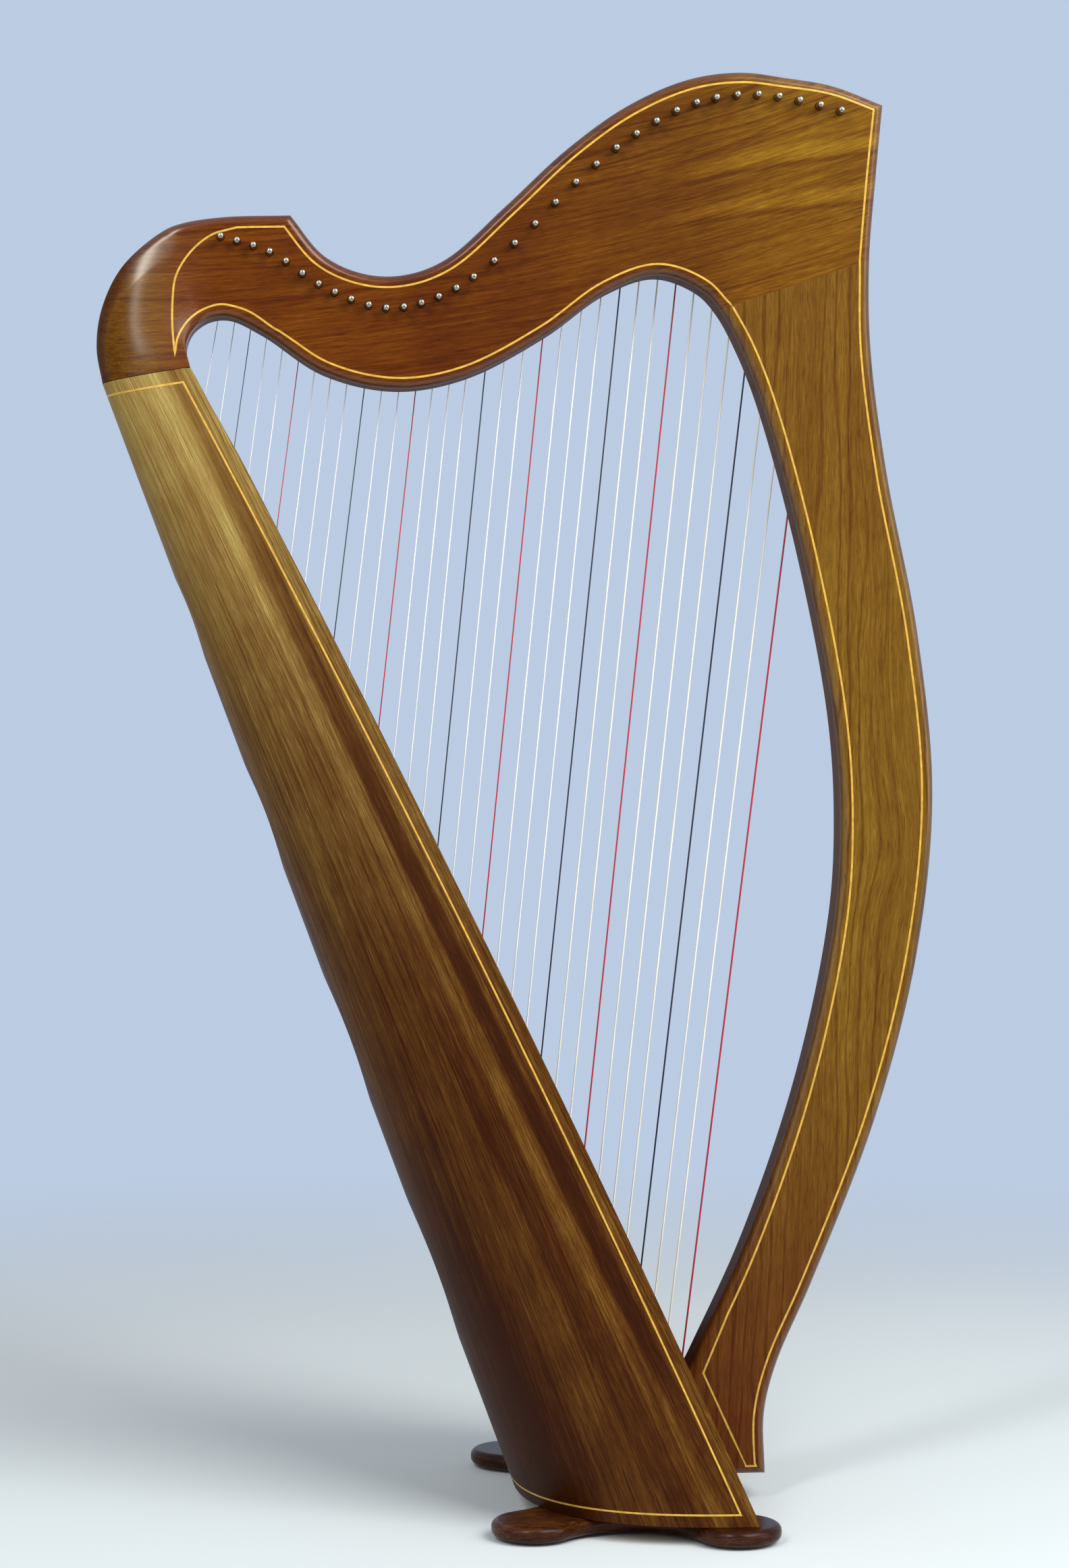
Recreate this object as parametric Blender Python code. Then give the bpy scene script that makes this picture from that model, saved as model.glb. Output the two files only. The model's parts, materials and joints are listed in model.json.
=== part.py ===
"""Floor-standing lever-free folk harp with thirty-four strings.

Metres, +Z up. The harp's plane is XZ: the sound box leans on the -X side and the
pillar stands on the +X side. -Y is the player's right-hand side, where the tuning
pins are driven, and +Y is the side on which the strings are wound.
"""

import math

import bmesh
import bpy
from mathutils import Vector

MM = 0.001
GAP = 0.3 * MM

# Neck and pillar, one board thick, with rounded edges
BOARD_THICK = 46.0 * MM
EDGE_ROUND = 6.0 * MM
EDGE_STEPS = 3
CURVE_STEPS = 3

# The outline's guide points, in millimetres, read from the instrument's right side
SHOULDER_BACK = [(-353, 960), (-358, 991), (-353.5, 1024), (-336, 1059), (-302, 1088.5),
                 (-285, 1095.5)]
HEAD_TOP = [(-285, 1095.5), (-250, 1101), (-194, 1103)]
NECK_TOP = [(-194, 1103), (-165.5, 1069), (-131, 1054), (-97, 1053.5), (-62, 1067),
            (-11, 1112.5), (41, 1161), (93, 1198.5), (145, 1221.5), (190, 1228),
            (228, 1224), (269, 1217.4), (312.5, 1201.5)]
SHOULDER_INSIDE = [(-278.5, 972.5), (-282, 991), (-276, 1005), (-262, 1014.5)]
NECK_INSIDE = [(-262, 1014.5), (-245, 1016), (-217, 1003), (-166, 970), (-105, 956.5),
               (-45, 967), (24, 1003), (76, 1040), (119, 1054.5), (155, 1042.5),
               (172, 1025.5)]
PILLAR_INSIDE = [(172, 1025.5), (191, 991), (211, 939), (244, 818), (271, 679), (277, 591),
                 (272.5, 505), (243.5, 365), (196, 225), (144.2, 112.5)]
PILLAR_OUTSIDE = [(301.5, 1069), (303, 992), (317, 888), (344.5, 749), (358, 609),
                  (344, 469), (308, 329), (253.5, 189), (223, 119), (212.5, 76),
                  (213.4, 23.8)]
CREST_SIDE = [(312.5, 1201.5), (306.5, 1136), (301.5, 1069)]
PIN_LINE = [(-270, 1087), (-252, 1083), (-210, 1070), (-168, 1042.5), (-113, 1024),
            (-60, 1038), (-4, 1080), (48, 1132), (99, 1173), (151, 1200),
            (205, 1207.5), (277, 1194), (300, 1187)]

# Strings and tuning pins. For the strings in GUIDE_STRINGS, 0 at the treble, the guides give
# in millimetres the pin's X, and how far down the sound board the string leaves it.
STRINGS = 34
GUIDE_STRINGS = (0, 8, 15, 21, 27, 33)
PIN_GUIDE = (-252.8, -143.0, -39.3, 64.9, 167.4, 274.3)
FOOT_GUIDE = (10.3, 215.9, 412.4, 586.7, 763.5, 938.5)
FOOT_FROM_TOP = 10.5 * MM
STRING_RADIUS_TREBLE = 0.35 * MM
STRING_RADIUS_BASS = 0.8 * MM
STRING_SIDES = 6
STRING_OUT = 36.0 * MM
STRING_OUT_AT_PIN = 40.0 * MM
FOOT_SINK = 1.5 * MM
PIN_RADIUS = 3.2 * MM
PIN_SIDES = 8
PIN_DRIVE_LENGTH = 14.0 * MM
PIN_SQUARE_LENGTH = 10.0 * MM
PIN_SQUARE_HALF = 2.4 * MM
PIN_WIND_LENGTH = 24.0 * MM
PIN_CHAMFER = 0.8 * MM
PIN_CLEARANCE = 0.3 * MM
BRIDGE_RADIUS = 2.0 * MM
BRIDGE_LENGTH = 17.0 * MM
BRIDGE_ROOT = 4.0 * MM
BRIDGE_DROP_TREBLE = 42.0 * MM
BRIDGE_DROP_BASS = 62.0 * MM
STOP_AHEAD_TREBLE = 1.0 * MM
STOP_AHEAD_BASS = -0.5 * MM

# Sound box
BASE_Z = 16.6 * MM
BOX_LEAN = math.radians(25.93)
BOX_FRONT_LOW_X = 184.8 * MM
BOX_FRONT_LOW_Z = 20.0 * MM
BOX_TOP_FRONT_Z = 972.5 * MM
BOX_BACK_LOW_X = -4.2 * MM
BOX_BACK_TOP = (-353.0 * MM, 960.2 * MM)
SEAM_SLOPE = 0.165
BOX_HALF_LOW = 185.0 * MM
BOX_HALF_TOP = 38.0 * MM
BOX_BOW = 9.0 * MM
BOX_WALL = 5.0 * MM
BOX_SQUARENESS = 2.5
BOX_STATIONS = 8
BOX_ARC_STEPS = 11
SOUNDBOARD_THICK = 4.0 * MM
SOUNDBOARD_SHORT = 0.8 * MM
SEAT_EASE = 0.2 * MM
HOLE_STATIONS = (0.2, 0.41, 0.61, 0.79)
HOLE_HALF_WIDTHS = (44.0 * MM, 37.0 * MM, 29.0 * MM, 20.0 * MM)
HOLE_HALF_HEIGHTS = (64.0 * MM, 56.0 * MM, 46.0 * MM, 36.0 * MM)
HOLE_SIDES = 16
HOLE_REACH = 40.0 * MM

# Shoulder
SHOULDER_EDGE = 0.8 * MM
SHOULDER_BACK_STEPS = 12

# Strips along the sound board
BAND_THICK = 2.5 * MM
BAND_HALF_LOW = 9.0 * MM
BAND_HALF_TOP = 5.0 * MM
RIB_THICK = 5.0 * MM
RIB_HALF_LOW = 12.0 * MM
RIB_HALF_TOP = 8.0 * MM
BAND_PAST_STRING = 2.0 * MM
STRIP_SHORT = 10.5 * MM
RIB_PAST_BLOCK = 5.0 * MM
LINING_WIDTH = 10.0 * MM
LINING_DEPTH = 8.0 * MM
LINING_EASE = 0.4 * MM

# Blocks inside the sound box, and what fastens the pillar
FLOOR_THICK = 18.0 * MM
FLOOR_EASE = 0.8 * MM
PILLAR_BLOCK_HALF = 32.0 * MM
PILLAR_BLOCK_DEPTH = 30.0 * MM
PILLAR_BLOCK_TOP_Z = 116.0 * MM
BOLT_Z = 78.0 * MM
BOLT_RADIUS = 4.0 * MM
BOLT_HEAD_RADIUS = 7.5 * MM
BOLT_HEAD_LENGTH = 5.0 * MM
BOLT_HEAD_SEAT = 1.0 * MM
BOLT_INTO_PILLAR = 30.0 * MM
DOWEL_RADIUS = 5.0 * MM
DOWEL_HALF_LENGTH = 26.0 * MM
DOWEL_SHARES = (0.3, 0.7)

# Base
PLATE_THICK = 14.0 * MM
PLATE_ROUND = 6.0 * MM
PAD_THICK = 2.0 * MM
PAD_RADIUS = 22.0 * MM
LOBE_RADIUS = 36.0 * MM
REAR_LOBE = (4.0 * MM, 138.0 * MM)
FRONT_LOBE = (170.0 * MM, 165.0 * MM)
SIDE_WAIST = 12.0 * MM
REAR_WAIST = 45.0 * MM
FRONT_WAIST = 55.0 * MM
SCREW_RADIUS = 2.5 * MM
SCREW_HEAD_RADIUS = 5.0 * MM
SCREW_INTO_FLOOR = 12.0 * MM
SCREW_PLACES = ((50.0 * MM, 70.0 * MM), (140.0 * MM, 100.0 * MM))

WALNUT = (0.16, 0.075, 0.035)
DARK_WALNUT = (0.07, 0.035, 0.02)
PALE_WOOD = (0.62, 0.42, 0.2)
STEEL = (0.6, 0.58, 0.54)
NYLON = (0.85, 0.86, 0.85)
FELT = (0.05, 0.05, 0.05)


def clear_scene():
    for thing in list(bpy.data.objects):
        bpy.data.objects.remove(thing)


def material(name, colour, roughness, metallic=0.0):
    made = bpy.data.materials.new(name)
    made.use_nodes = True
    shader = made.node_tree.nodes["Principled BSDF"]
    shader.inputs["Base Color"].default_value = (*colour, 1.0)
    shader.inputs["Roughness"].default_value = roughness
    shader.inputs["Metallic"].default_value = metallic
    return made


def add_object(name, mesh, finish=None, guide=False):
    thing = bpy.data.objects.new(name, mesh)
    bpy.context.scene.collection.objects.link(thing)
    if finish is not None and not mesh.materials:
        mesh.materials.append(finish)
    if guide:
        thing.hide_render = True
        thing.display_type = "WIRE"
    return thing


def close(shape, name):
    """Turn a bmesh into a mesh whose faces point out."""
    bmesh.ops.recalc_face_normals(shape, faces=shape.faces)
    mesh = bpy.data.meshes.new(name)
    shape.to_mesh(mesh)
    shape.free()
    return mesh


def smooth(points, steps=CURVE_STEPS):
    """A centripetal Catmull-Rom curve through the points, in metres."""
    ends = [2 * Vector(points[0]) - Vector(points[1])]
    tail = [2 * Vector(points[-1]) - Vector(points[-2])]
    run = ends + [Vector(p) for p in points] + tail
    curve = []
    for i in range(1, len(run) - 2):
        a, b, c, d = run[i - 1:i + 3]
        t1 = math.sqrt((b - a).length)
        t2 = t1 + math.sqrt((c - b).length)
        t3 = t2 + math.sqrt((d - c).length)
        for k in range(steps):
            t = t1 + (t2 - t1) * k / steps
            ab = a * ((t1 - t) / t1) + b * (t / t1)
            bc = b * ((t2 - t) / (t2 - t1)) + c * ((t - t1) / (t2 - t1))
            cd = c * ((t3 - t) / (t3 - t2)) + d * ((t - t2) / (t3 - t2))
            abc = ab * ((t2 - t) / t2) + bc * (t / t2)
            bcd = bc * ((t3 - t) / (t3 - t1)) + cd * ((t - t1) / (t3 - t1))
            curve.append((abc * ((t2 - t) / (t2 - t1)) + bcd * ((t - t1) / (t2 - t1))) * MM)
    curve.append(run[-2] * MM)
    return curve


def height_at(curve, x):
    for a, b in zip(curve, curve[1:]):
        if a.x <= x <= b.x:
            return a.y + (b.y - a.y) * (x - a.x) / (b.x - a.x)
    raise ValueError("x lies off the curve")


def round_edges(thing, width):
    """Rounds the edges that carry a bevel weight."""
    bevel = thing.modifiers.new("rounded_edges", "BEVEL")
    bevel.width = width
    bevel.segments = EDGE_STEPS
    bevel.limit_method = "WEIGHT"


def board(name, outline, finish, low=-BOARD_THICK / 2, high=BOARD_THICK / 2,
          round_by=EDGE_ROUND, glued=()):
    """A flat board cut to an outline in XZ.

    Its long edges are rounded over, save along the glued sides, which are named by the
    outline's point that each starts from. Corners of the outline itself stay sharp.
    """
    shape = bmesh.new()
    weight = shape.edges.layers.float.new("bevel_weight_edge")
    near = [shape.verts.new((p.x, low, p.y)) for p in outline]
    far = [shape.verts.new((p.x, high, p.y)) for p in outline]
    shape.faces.new(near)
    shape.faces.new(far)
    for i in range(len(outline)):
        j = (i + 1) % len(outline)
        shape.faces.new((near[i], near[j], far[j], far[i]))
        if i not in glued:
            shape.edges.get((near[i], near[j]))[weight] = 1.0
            shape.edges.get((far[i], far[j]))[weight] = 1.0
    thing = add_object(name, close(shape, name), finish)
    if round_by:
        round_edges(thing, round_by)
    return thing


def add_tube(shape, points, radius, sides):
    """One closed tube along a run of points."""
    rings = []
    for i, point in enumerate(points):
        ahead = points[min(i + 1, len(points) - 1)] - points[max(i - 1, 0)]
        ahead.normalize()
        across = ahead.cross(Vector((0, 1, 0)) if abs(ahead.y) < 0.9 else Vector((1, 0, 0)))
        across.normalize()
        other = ahead.cross(across)
        ring = []
        for k in range(sides):
            turn = 2 * math.pi * k / sides
            offset = across * math.cos(turn) + other * math.sin(turn)
            ring.append(shape.verts.new(point + offset * radius))
        rings.append(ring)
    for first, second in zip(rings, rings[1:]):
        for k in range(sides):
            m = (k + 1) % sides
            shape.faces.new((first[k], first[m], second[m], second[k]))
    shape.faces.new(rings[0])
    shape.faces.new(rings[-1])


def bridge_rings(shape, rings):
    """Skin a run of equal rings and cap both ends."""
    for first, second in zip(rings, rings[1:]):
        count = len(first)
        for k in range(count):
            m = (k + 1) % count
            shape.faces.new((first[k], first[m], second[m], second[k]))
    shape.faces.new(rings[0])
    shape.faces.new(rings[-1])


def turned(name, profile, sides, finish=None, guide=False):
    """A solid turned about Z from (height, radius) pairs."""
    shape = bmesh.new()
    rings = []
    for height, radius in profile:
        ring = []
        for k in range(sides):
            turn = 2 * math.pi * (k + 0.5) / sides
            place = (radius * math.cos(turn), radius * math.sin(turn), height)
            ring.append(shape.verts.new(place))
        rings.append(ring)
    bridge_rings(shape, rings)
    return add_object(name, close(shape, name), finish, guide)


def boolean(target, tool, operation):
    step = target.modifiers.new(operation.lower() + "_" + tool.name, "BOOLEAN")
    step.operation = operation
    step.object = tool


def aim(thing, place, direction):
    """Stand a turned solid at a place, its axis along a direction."""
    thing.location = place
    thing.rotation_mode = "QUATERNION"
    thing.rotation_quaternion = Vector(direction).to_track_quat("Z", "Y")


def rise(z):
    """Share of the sound box's height at z, 0 at its foot and 1 at its top."""
    return (z - BASE_Z) / (BOX_TOP_FRONT_Z - BASE_Z)


def front_x(z, behind=0.0):
    """X of the sound board's bowed front face at z, or of a layer behind it."""
    t = min(max(rise(z), 0.0), 1.0)
    bow = BOX_BOW * 4 * t * (1 - t)
    straight = BOX_FRONT_LOW_X - (z - BOX_FRONT_LOW_Z) * math.tan(BOX_LEAN)
    return straight + (bow - behind) / math.cos(BOX_LEAN)


def box_half(t):
    return BOX_HALF_LOW + (BOX_HALF_TOP - BOX_HALF_LOW) * t


def box_ends(t, behind):
    """The section's front and back points at a share of the height."""
    front_z = BASE_Z + (BOX_TOP_FRONT_Z - BASE_Z) * t
    front_z -= SEAM_SLOPE * t * behind / math.cos(BOX_LEAN)
    back_z = BASE_Z + (BOX_BACK_TOP[1] - BASE_Z) * t
    back_x = BOX_BACK_LOW_X + (BOX_BACK_TOP[0] - BOX_BACK_LOW_X) * t
    return Vector((front_x(front_z, behind), front_z)), Vector((back_x, back_z))


def arch(front, back, half, squareness, inset=0.0):
    """Points round a D-shaped section, from the +Y front edge to the -Y one."""
    depth = (back - front).length - inset
    along = (back - front).normalized()
    points = []
    for k in range(2 * BOX_ARC_STEPS + 1):
        turn = math.pi * k / (2 * BOX_ARC_STEPS)
        u = abs(math.sin(turn)) ** (2 / squareness)
        v = abs(math.cos(turn)) ** (2 / squareness) * (1 if k <= BOX_ARC_STEPS else -1)
        place = front + along * depth * u
        points.append(Vector((place.x, (half - inset) * v, place.y)))
    return points


def make_soundbox(finish):
    behind = SOUNDBOARD_THICK + GAP
    shape = bmesh.new()
    rings = []
    for i in range(BOX_STATIONS + 1):
        t = i / BOX_STATIONS
        front, back = box_ends(t, behind)
        outer = arch(front, back, box_half(t), BOX_SQUARENESS)
        inner = arch(front, back, box_half(t), BOX_SQUARENESS, BOX_WALL)
        rings.append([shape.verts.new(p) for p in outer + inner[::-1]])
    for first, second in zip(rings, rings[1:]):
        count = len(first)
        for k in range(count):
            m = (k + 1) % count
            shape.faces.new((first[k], first[m], second[m], second[k]))
    span = 2 * BOX_ARC_STEPS + 1
    for ring in (rings[0], rings[-1]):
        for k in range(span - 1):
            shape.faces.new((ring[k], ring[k + 1], ring[2 * span - 2 - k], ring[2 * span - 1 - k]))
    shell = add_object("soundbox_shell", close(shape, "soundbox_shell"), finish)
    for i, t in enumerate(HOLE_STATIONS):
        front, back = box_ends(t, behind)
        inward = Vector((front.x - back.x, 0, front.y - back.y)).normalized()
        cutter = turned(f"sound_hole_cutter_{i + 1}", [(-HOLE_REACH, 1.0), (HOLE_REACH, 1.0)],
                        HOLE_SIDES, guide=True)
        for vertex in cutter.data.vertices:
            vertex.co.x *= HOLE_HALF_HEIGHTS[i]
            vertex.co.y *= HOLE_HALF_WIDTHS[i]
        cutter.location = (back.x, 0, back.y)
        cutter.rotation_euler = (0, math.atan2(inward.x, inward.z), 0)
        boolean(shell, cutter, "DIFFERENCE")
    return shell


def strip(name, low_z, high_z, ahead, behind, half_at, finish, stations=8):
    """A strip that follows the bowed sound board, `ahead` to `behind` its front face."""
    shape = bmesh.new()
    rings = []
    for i in range(stations + 1):
        z = low_z + (high_z - low_z) * i / stations
        left, right = half_at(z)
        ring = []
        for y, depth in ((left, ahead), (right, ahead), (right, behind), (left, behind)):
            ring.append(shape.verts.new((front_x(z, depth), y, z)))
        rings.append(ring)
    bridge_rings(shape, rings)
    return add_object(name, close(shape, name), finish)


def tapered(low_half, high_half):
    def half_at(z):
        half = low_half + (high_half - low_half) * rise(z)
        return half, -half
    return half_at


def lining_side(side):
    def half_at(z):
        outer = box_half(rise(z)) - BOX_WALL - GAP - LINING_EASE
        return side * outer, side * (outer - LINING_WIDTH)
    return half_at


def shoulder_half(depth, half, ease):
    """Half a section as (depth, half-width) pairs, from the strings' side to the back.

    It is the sound box's D at ease 0 and the neck's rounded board at ease 1.
    """
    corner = max(EDGE_ROUND * ease, SHOULDER_EDGE)
    points = []
    for k in range(EDGE_STEPS + 1):
        turn = math.pi / 2 * (1 - k / EDGE_STEPS)
        points.append((corner * (1 - math.sin(turn)) if k else 0.0,
                       half - corner * (1 - math.cos(turn))))
    for k in range(1, SHOULDER_BACK_STEPS + 1):
        turn = math.pi / 2 * k / SHOULDER_BACK_STEPS
        round_u = corner + (depth - corner) * math.sin(turn) ** (2 / BOX_SQUARENESS)
        round_v = half * max(math.cos(turn), 0.0) ** (2 / BOX_SQUARENESS)
        flat = k / (SHOULDER_BACK_STEPS - EDGE_STEPS - 1)
        if flat <= 1:
            board_u, board_v = corner + (depth - EDGE_ROUND - corner) * flat, half
        elif k < SHOULDER_BACK_STEPS:
            turn = math.pi / 2 * (k - SHOULDER_BACK_STEPS + EDGE_STEPS + 1) / EDGE_STEPS
            board_u = depth - EDGE_ROUND * (1 - math.sin(turn))
            board_v = half - EDGE_ROUND * (1 - math.cos(turn))
        else:
            board_u, board_v = depth, 0.0
        points.append((round_u + (board_u - round_u) * ease, round_v + (board_v - round_v) * ease))
    return points


def make_shoulder(finish):
    """Carved block from the sound box's top round to the neck's end."""
    inside = smooth(SHOULDER_INSIDE, 3)
    outside = smooth(SHOULDER_BACK, 3)
    count = 9
    shape = bmesh.new()
    rings = []
    for i in range(count + 1):
        t = i / count
        a = sample(inside, t)
        b = sample(outside, t)
        if i == 0:
            a = a + Vector((0, GAP))
            b = b + Vector((0, GAP + SEAT_EASE))
        if i == count:
            a = a - Vector((GAP, 0))
            b = b - Vector((GAP, 0))
        ease = t * t * (3 - 2 * t)
        half = BOX_HALF_TOP + (BOARD_THICK / 2 - BOX_HALF_TOP) * ease
        along = (b - a).normalized()
        ring = []
        for depth, width in shoulder_half((b - a).length, half, ease):
            place = a + along * depth
            ring.append((place.x, width, place.y))
        ring += [(x, -y, z) for x, y, z in reversed(ring[:-1])]
        rings.append([shape.verts.new(p) for p in ring])
    bridge_rings(shape, rings)
    return add_object("shoulder_block", close(shape, "shoulder_block"), finish)


def sample(curve, t):
    place = t * (len(curve) - 1)
    i = min(int(place), len(curve) - 2)
    return curve[i].lerp(curve[i + 1], place - i)


def along_guide(guide, index):
    """A guide's place for a string, in metres, straight between its points."""
    for k, last in enumerate(GUIDE_STRINGS[1:]):
        if index <= last:
            share = (index - GUIDE_STRINGS[k]) / (last - GUIDE_STRINGS[k])
            return (guide[k] + (guide[k + 1] - guide[k]) * share) * MM
    raise ValueError("string lies off the guide")


def pin_place(index, line):
    x = along_guide(PIN_GUIDE, index)
    return Vector((x, 0, height_at(line, x)))


def string_share(index):
    return index / (STRINGS - 1)


def string_radius(index):
    return STRING_RADIUS_TREBLE + (STRING_RADIUS_BASS - STRING_RADIUS_TREBLE) * string_share(index)


def string_foot(index):
    """Where a string leaves the band on the sound board."""
    down = along_guide(FOOT_GUIDE, index)
    z = BOX_TOP_FRONT_Z - FOOT_FROM_TOP - down * math.cos(BOX_LEAN)
    return Vector((front_x(z, -FOOT_SINK), 0, z))


def string_route(index, line):
    """Foot, bridge pin and tuning pin points of a string's centre line."""
    radius = string_radius(index)
    pin = pin_place(index, line)
    foot = string_foot(index)
    top = pin + Vector((PIN_RADIUS + PIN_CLEARANCE + radius, STRING_OUT_AT_PIN, 0))
    share = string_share(index)
    drop = BRIDGE_DROP_TREBLE + (BRIDGE_DROP_BASS - BRIDGE_DROP_TREBLE) * share
    ahead = STOP_AHEAD_TREBLE + (STOP_AHEAD_BASS - STOP_AHEAD_TREBLE) * share
    stop = Vector((pin.x + ahead, STRING_OUT, pin.z - drop))
    return foot, stop, top


def bridge_place(index, line):
    stop = string_route(index, line)[1]
    return Vector((stop.x + BRIDGE_RADIUS + GAP + string_radius(index), 0, stop.z))


def make_strings(line, finish):
    low = string_foot(STRINGS - 1).z - BAND_PAST_STRING
    band = strip("strings", low, BOX_TOP_FRONT_Z - STRIP_SHORT, -BAND_THICK, -GAP,
                 tapered(BAND_HALF_LOW, BAND_HALF_TOP), finish)
    shape = bmesh.new()
    for index in range(STRINGS):
        foot, stop, top = string_route(index, line)
        add_tube(shape, [foot, stop, top], string_radius(index), STRING_SIDES)
    tubes = add_object("string_tubes", close(shape, "string_tubes"), guide=True)
    boolean(band, tubes, "UNION")
    return band


def pin_mesh():
    """A tuning pin along Y: square drive end, round body and winding end."""
    near = -BOARD_THICK / 2
    far = BOARD_THICK / 2
    square_end = near - PIN_DRIVE_LENGTH
    stations = [
        (square_end, PIN_SQUARE_HALF - PIN_CHAMFER, True),
        (square_end + PIN_CHAMFER, PIN_SQUARE_HALF, True),
        (square_end + PIN_SQUARE_LENGTH, PIN_SQUARE_HALF, True),
        (square_end + PIN_SQUARE_LENGTH + PIN_CHAMFER, PIN_RADIUS, False),
        (far + PIN_WIND_LENGTH - PIN_CHAMFER, PIN_RADIUS, False),
        (far + PIN_WIND_LENGTH, PIN_RADIUS - PIN_CHAMFER, False),
    ]
    shape = bmesh.new()
    rings = []
    for y, size, square in stations:
        ring = []
        for k in range(PIN_SIDES):
            turn = 2 * math.pi * k / PIN_SIDES
            c, s = math.cos(turn), math.sin(turn)
            reach = size / max(abs(c), abs(s)) if square else size
            ring.append(shape.verts.new((reach * c, y, reach * s)))
        rings.append(ring)
    bridge_rings(shape, rings)
    return close(shape, "tuning_pin")


def make_pins(line, finish):
    mesh = pin_mesh()
    for index in range(STRINGS):
        pin = add_object(f"tuning_pin_{index + 1:02d}", mesh, finish)
        pin.location = pin_place(index, line)


def drill_neck(neck, line):
    """Bores for the tuning pins, and the bridge pins that stand on the far face."""
    bores = bmesh.new()
    stubs = bmesh.new()
    bore = (PIN_RADIUS + PIN_CLEARANCE) / math.cos(math.pi / PIN_SIDES)
    reach = Vector((0, BOARD_THICK, 0))
    for index in range(STRINGS):
        place = pin_place(index, line)
        add_tube(bores, [place - reach, place + reach], bore, PIN_SIDES)
        root = bridge_place(index, line)
        start = root + Vector((0, BOARD_THICK / 2 - BRIDGE_ROOT, 0))
        end = root + Vector((0, BOARD_THICK / 2 + BRIDGE_LENGTH, 0))
        add_tube(stubs, [start, end], BRIDGE_RADIUS, PIN_SIDES)
    boolean(neck, add_object("pin_bores", close(bores, "pin_bores"), guide=True), "DIFFERENCE")
    boolean(neck, add_object("bridge_pins", close(stubs, "bridge_pins"), guide=True), "UNION")


def arc(centre, radius, start, end, steps):
    points = []
    for k in range(steps + 1):
        turn = start + (end - start) * k / steps
        points.append(centre + Vector((math.cos(turn), math.sin(turn))) * radius)
    return points


def waist(first, second, depth, steps):
    """A hollow arc that leaves one lobe and meets the next, both tangent.

    The lobes' centres are followed anticlockwise, so the outside lies on the right.
    """
    chord = second - first
    half = chord.length / 2
    radius = (half * half + depth * depth - LOBE_RADIUS ** 2) / (2 * (LOBE_RADIUS + depth))
    out = Vector((chord.y, -chord.x)).normalized()
    centre = (first + second) / 2 + out * (radius - depth)
    start = math.atan2(*(first - centre).yx)
    end = math.atan2(*(second - centre).yx)
    while end > start:
        end -= 2 * math.pi
    return arc(centre, radius, start, end, steps)


def plate_outline():
    """Four round lobes joined by hollow sides."""
    lobes = [Vector((REAR_LOBE[0], -REAR_LOBE[1])), Vector((FRONT_LOBE[0], -FRONT_LOBE[1])),
             Vector((FRONT_LOBE[0], FRONT_LOBE[1])), Vector((REAR_LOBE[0], REAR_LOBE[1]))]
    depths = [SIDE_WAIST, FRONT_WAIST, SIDE_WAIST, REAR_WAIST]
    outline = []
    hollows = []
    for i in range(4):
        hollows.append(waist(lobes[i], lobes[(i + 1) % 4], depths[i], 8))
    for i in range(4):
        entry = hollows[i - 1][-1] - lobes[i]
        leave = hollows[i][0] - lobes[i]
        start = math.atan2(entry.y, entry.x)
        end = math.atan2(leave.y, leave.x)
        while end < start:
            end += 2 * math.pi
        outline += arc(lobes[i], LOBE_RADIUS, start, end, 10)
        outline += hollows[i][1:-1]
    return outline, lobes


def make_base(dark, felt):
    outline, lobes = plate_outline()
    low = PAD_THICK + GAP
    shape = bmesh.new()
    under = [shape.verts.new((p.x, p.y, low)) for p in outline]
    over = [shape.verts.new((p.x, p.y, low + PLATE_THICK)) for p in outline]
    bridge_rings(shape, [under, over])
    plate = add_object("base_plate", close(shape, "base_plate"), dark)
    bevel = plate.modifiers.new("rounded_edges", "BEVEL")
    bevel.width = PLATE_ROUND
    bevel.segments = 2
    bevel.limit_method = "ANGLE"
    bevel.angle_limit = math.radians(60)
    for i, lobe in enumerate(lobes):
        pad = turned(f"foot_pad_{i + 1}", [(0, PAD_RADIUS), (PAD_THICK, PAD_RADIUS)], 16, felt)
        pad.location = (lobe.x, lobe.y, 0)
    return plate


def make_floor(finish):
    """The board that closes the sound box's foot."""
    behind = SOUNDBOARD_THICK + 2 * GAP
    rings = []
    shape = bmesh.new()
    for z in (BASE_Z + SEAT_EASE, BASE_Z + FLOOR_THICK):
        t = rise(z)
        front, back = box_ends(t, behind)
        front = Vector((front_x(z, behind), z))
        back = Vector((back.x, z))
        points = arch(front, back, box_half(t) - FLOOR_EASE, BOX_SQUARENESS, BOX_WALL + FLOOR_EASE)
        rings.append([shape.verts.new(p) for p in points])
    bridge_rings(shape, rings)
    return add_object("box_floor", close(shape, "box_floor"), finish)


def fit_screws(plate, floor, steel):
    """Countersunk screws up through the base plate into the box's floor."""
    low = PAD_THICK + GAP
    top = BASE_Z + SCREW_INTO_FLOOR
    sink = SCREW_HEAD_RADIUS - SCREW_RADIUS
    profile = [(low + GAP, SCREW_HEAD_RADIUS), (low + GAP + sink, SCREW_RADIUS), (top, SCREW_RADIUS)]
    cut = [(low - 1.0 * MM, SCREW_HEAD_RADIUS + 2 * GAP), (low + GAP, SCREW_HEAD_RADIUS + 2 * GAP),
           (low + GAP + sink, SCREW_RADIUS + 2 * GAP), (top + GAP, SCREW_RADIUS + 2 * GAP)]
    number = 0
    for x, y in SCREW_PLACES:
        for side in (-1, 1):
            number += 1
            screw = turned(f"base_screw_{number}", profile, 8, steel)
            screw.location = (x, side * y, 0)
            cutter = turned(f"base_screw_cutter_{number}", cut, 8, guide=True)
            cutter.location = (x, side * y, 0)
            boolean(plate, cutter, "DIFFERENCE")
            boolean(floor, cutter, "DIFFERENCE")


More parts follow.
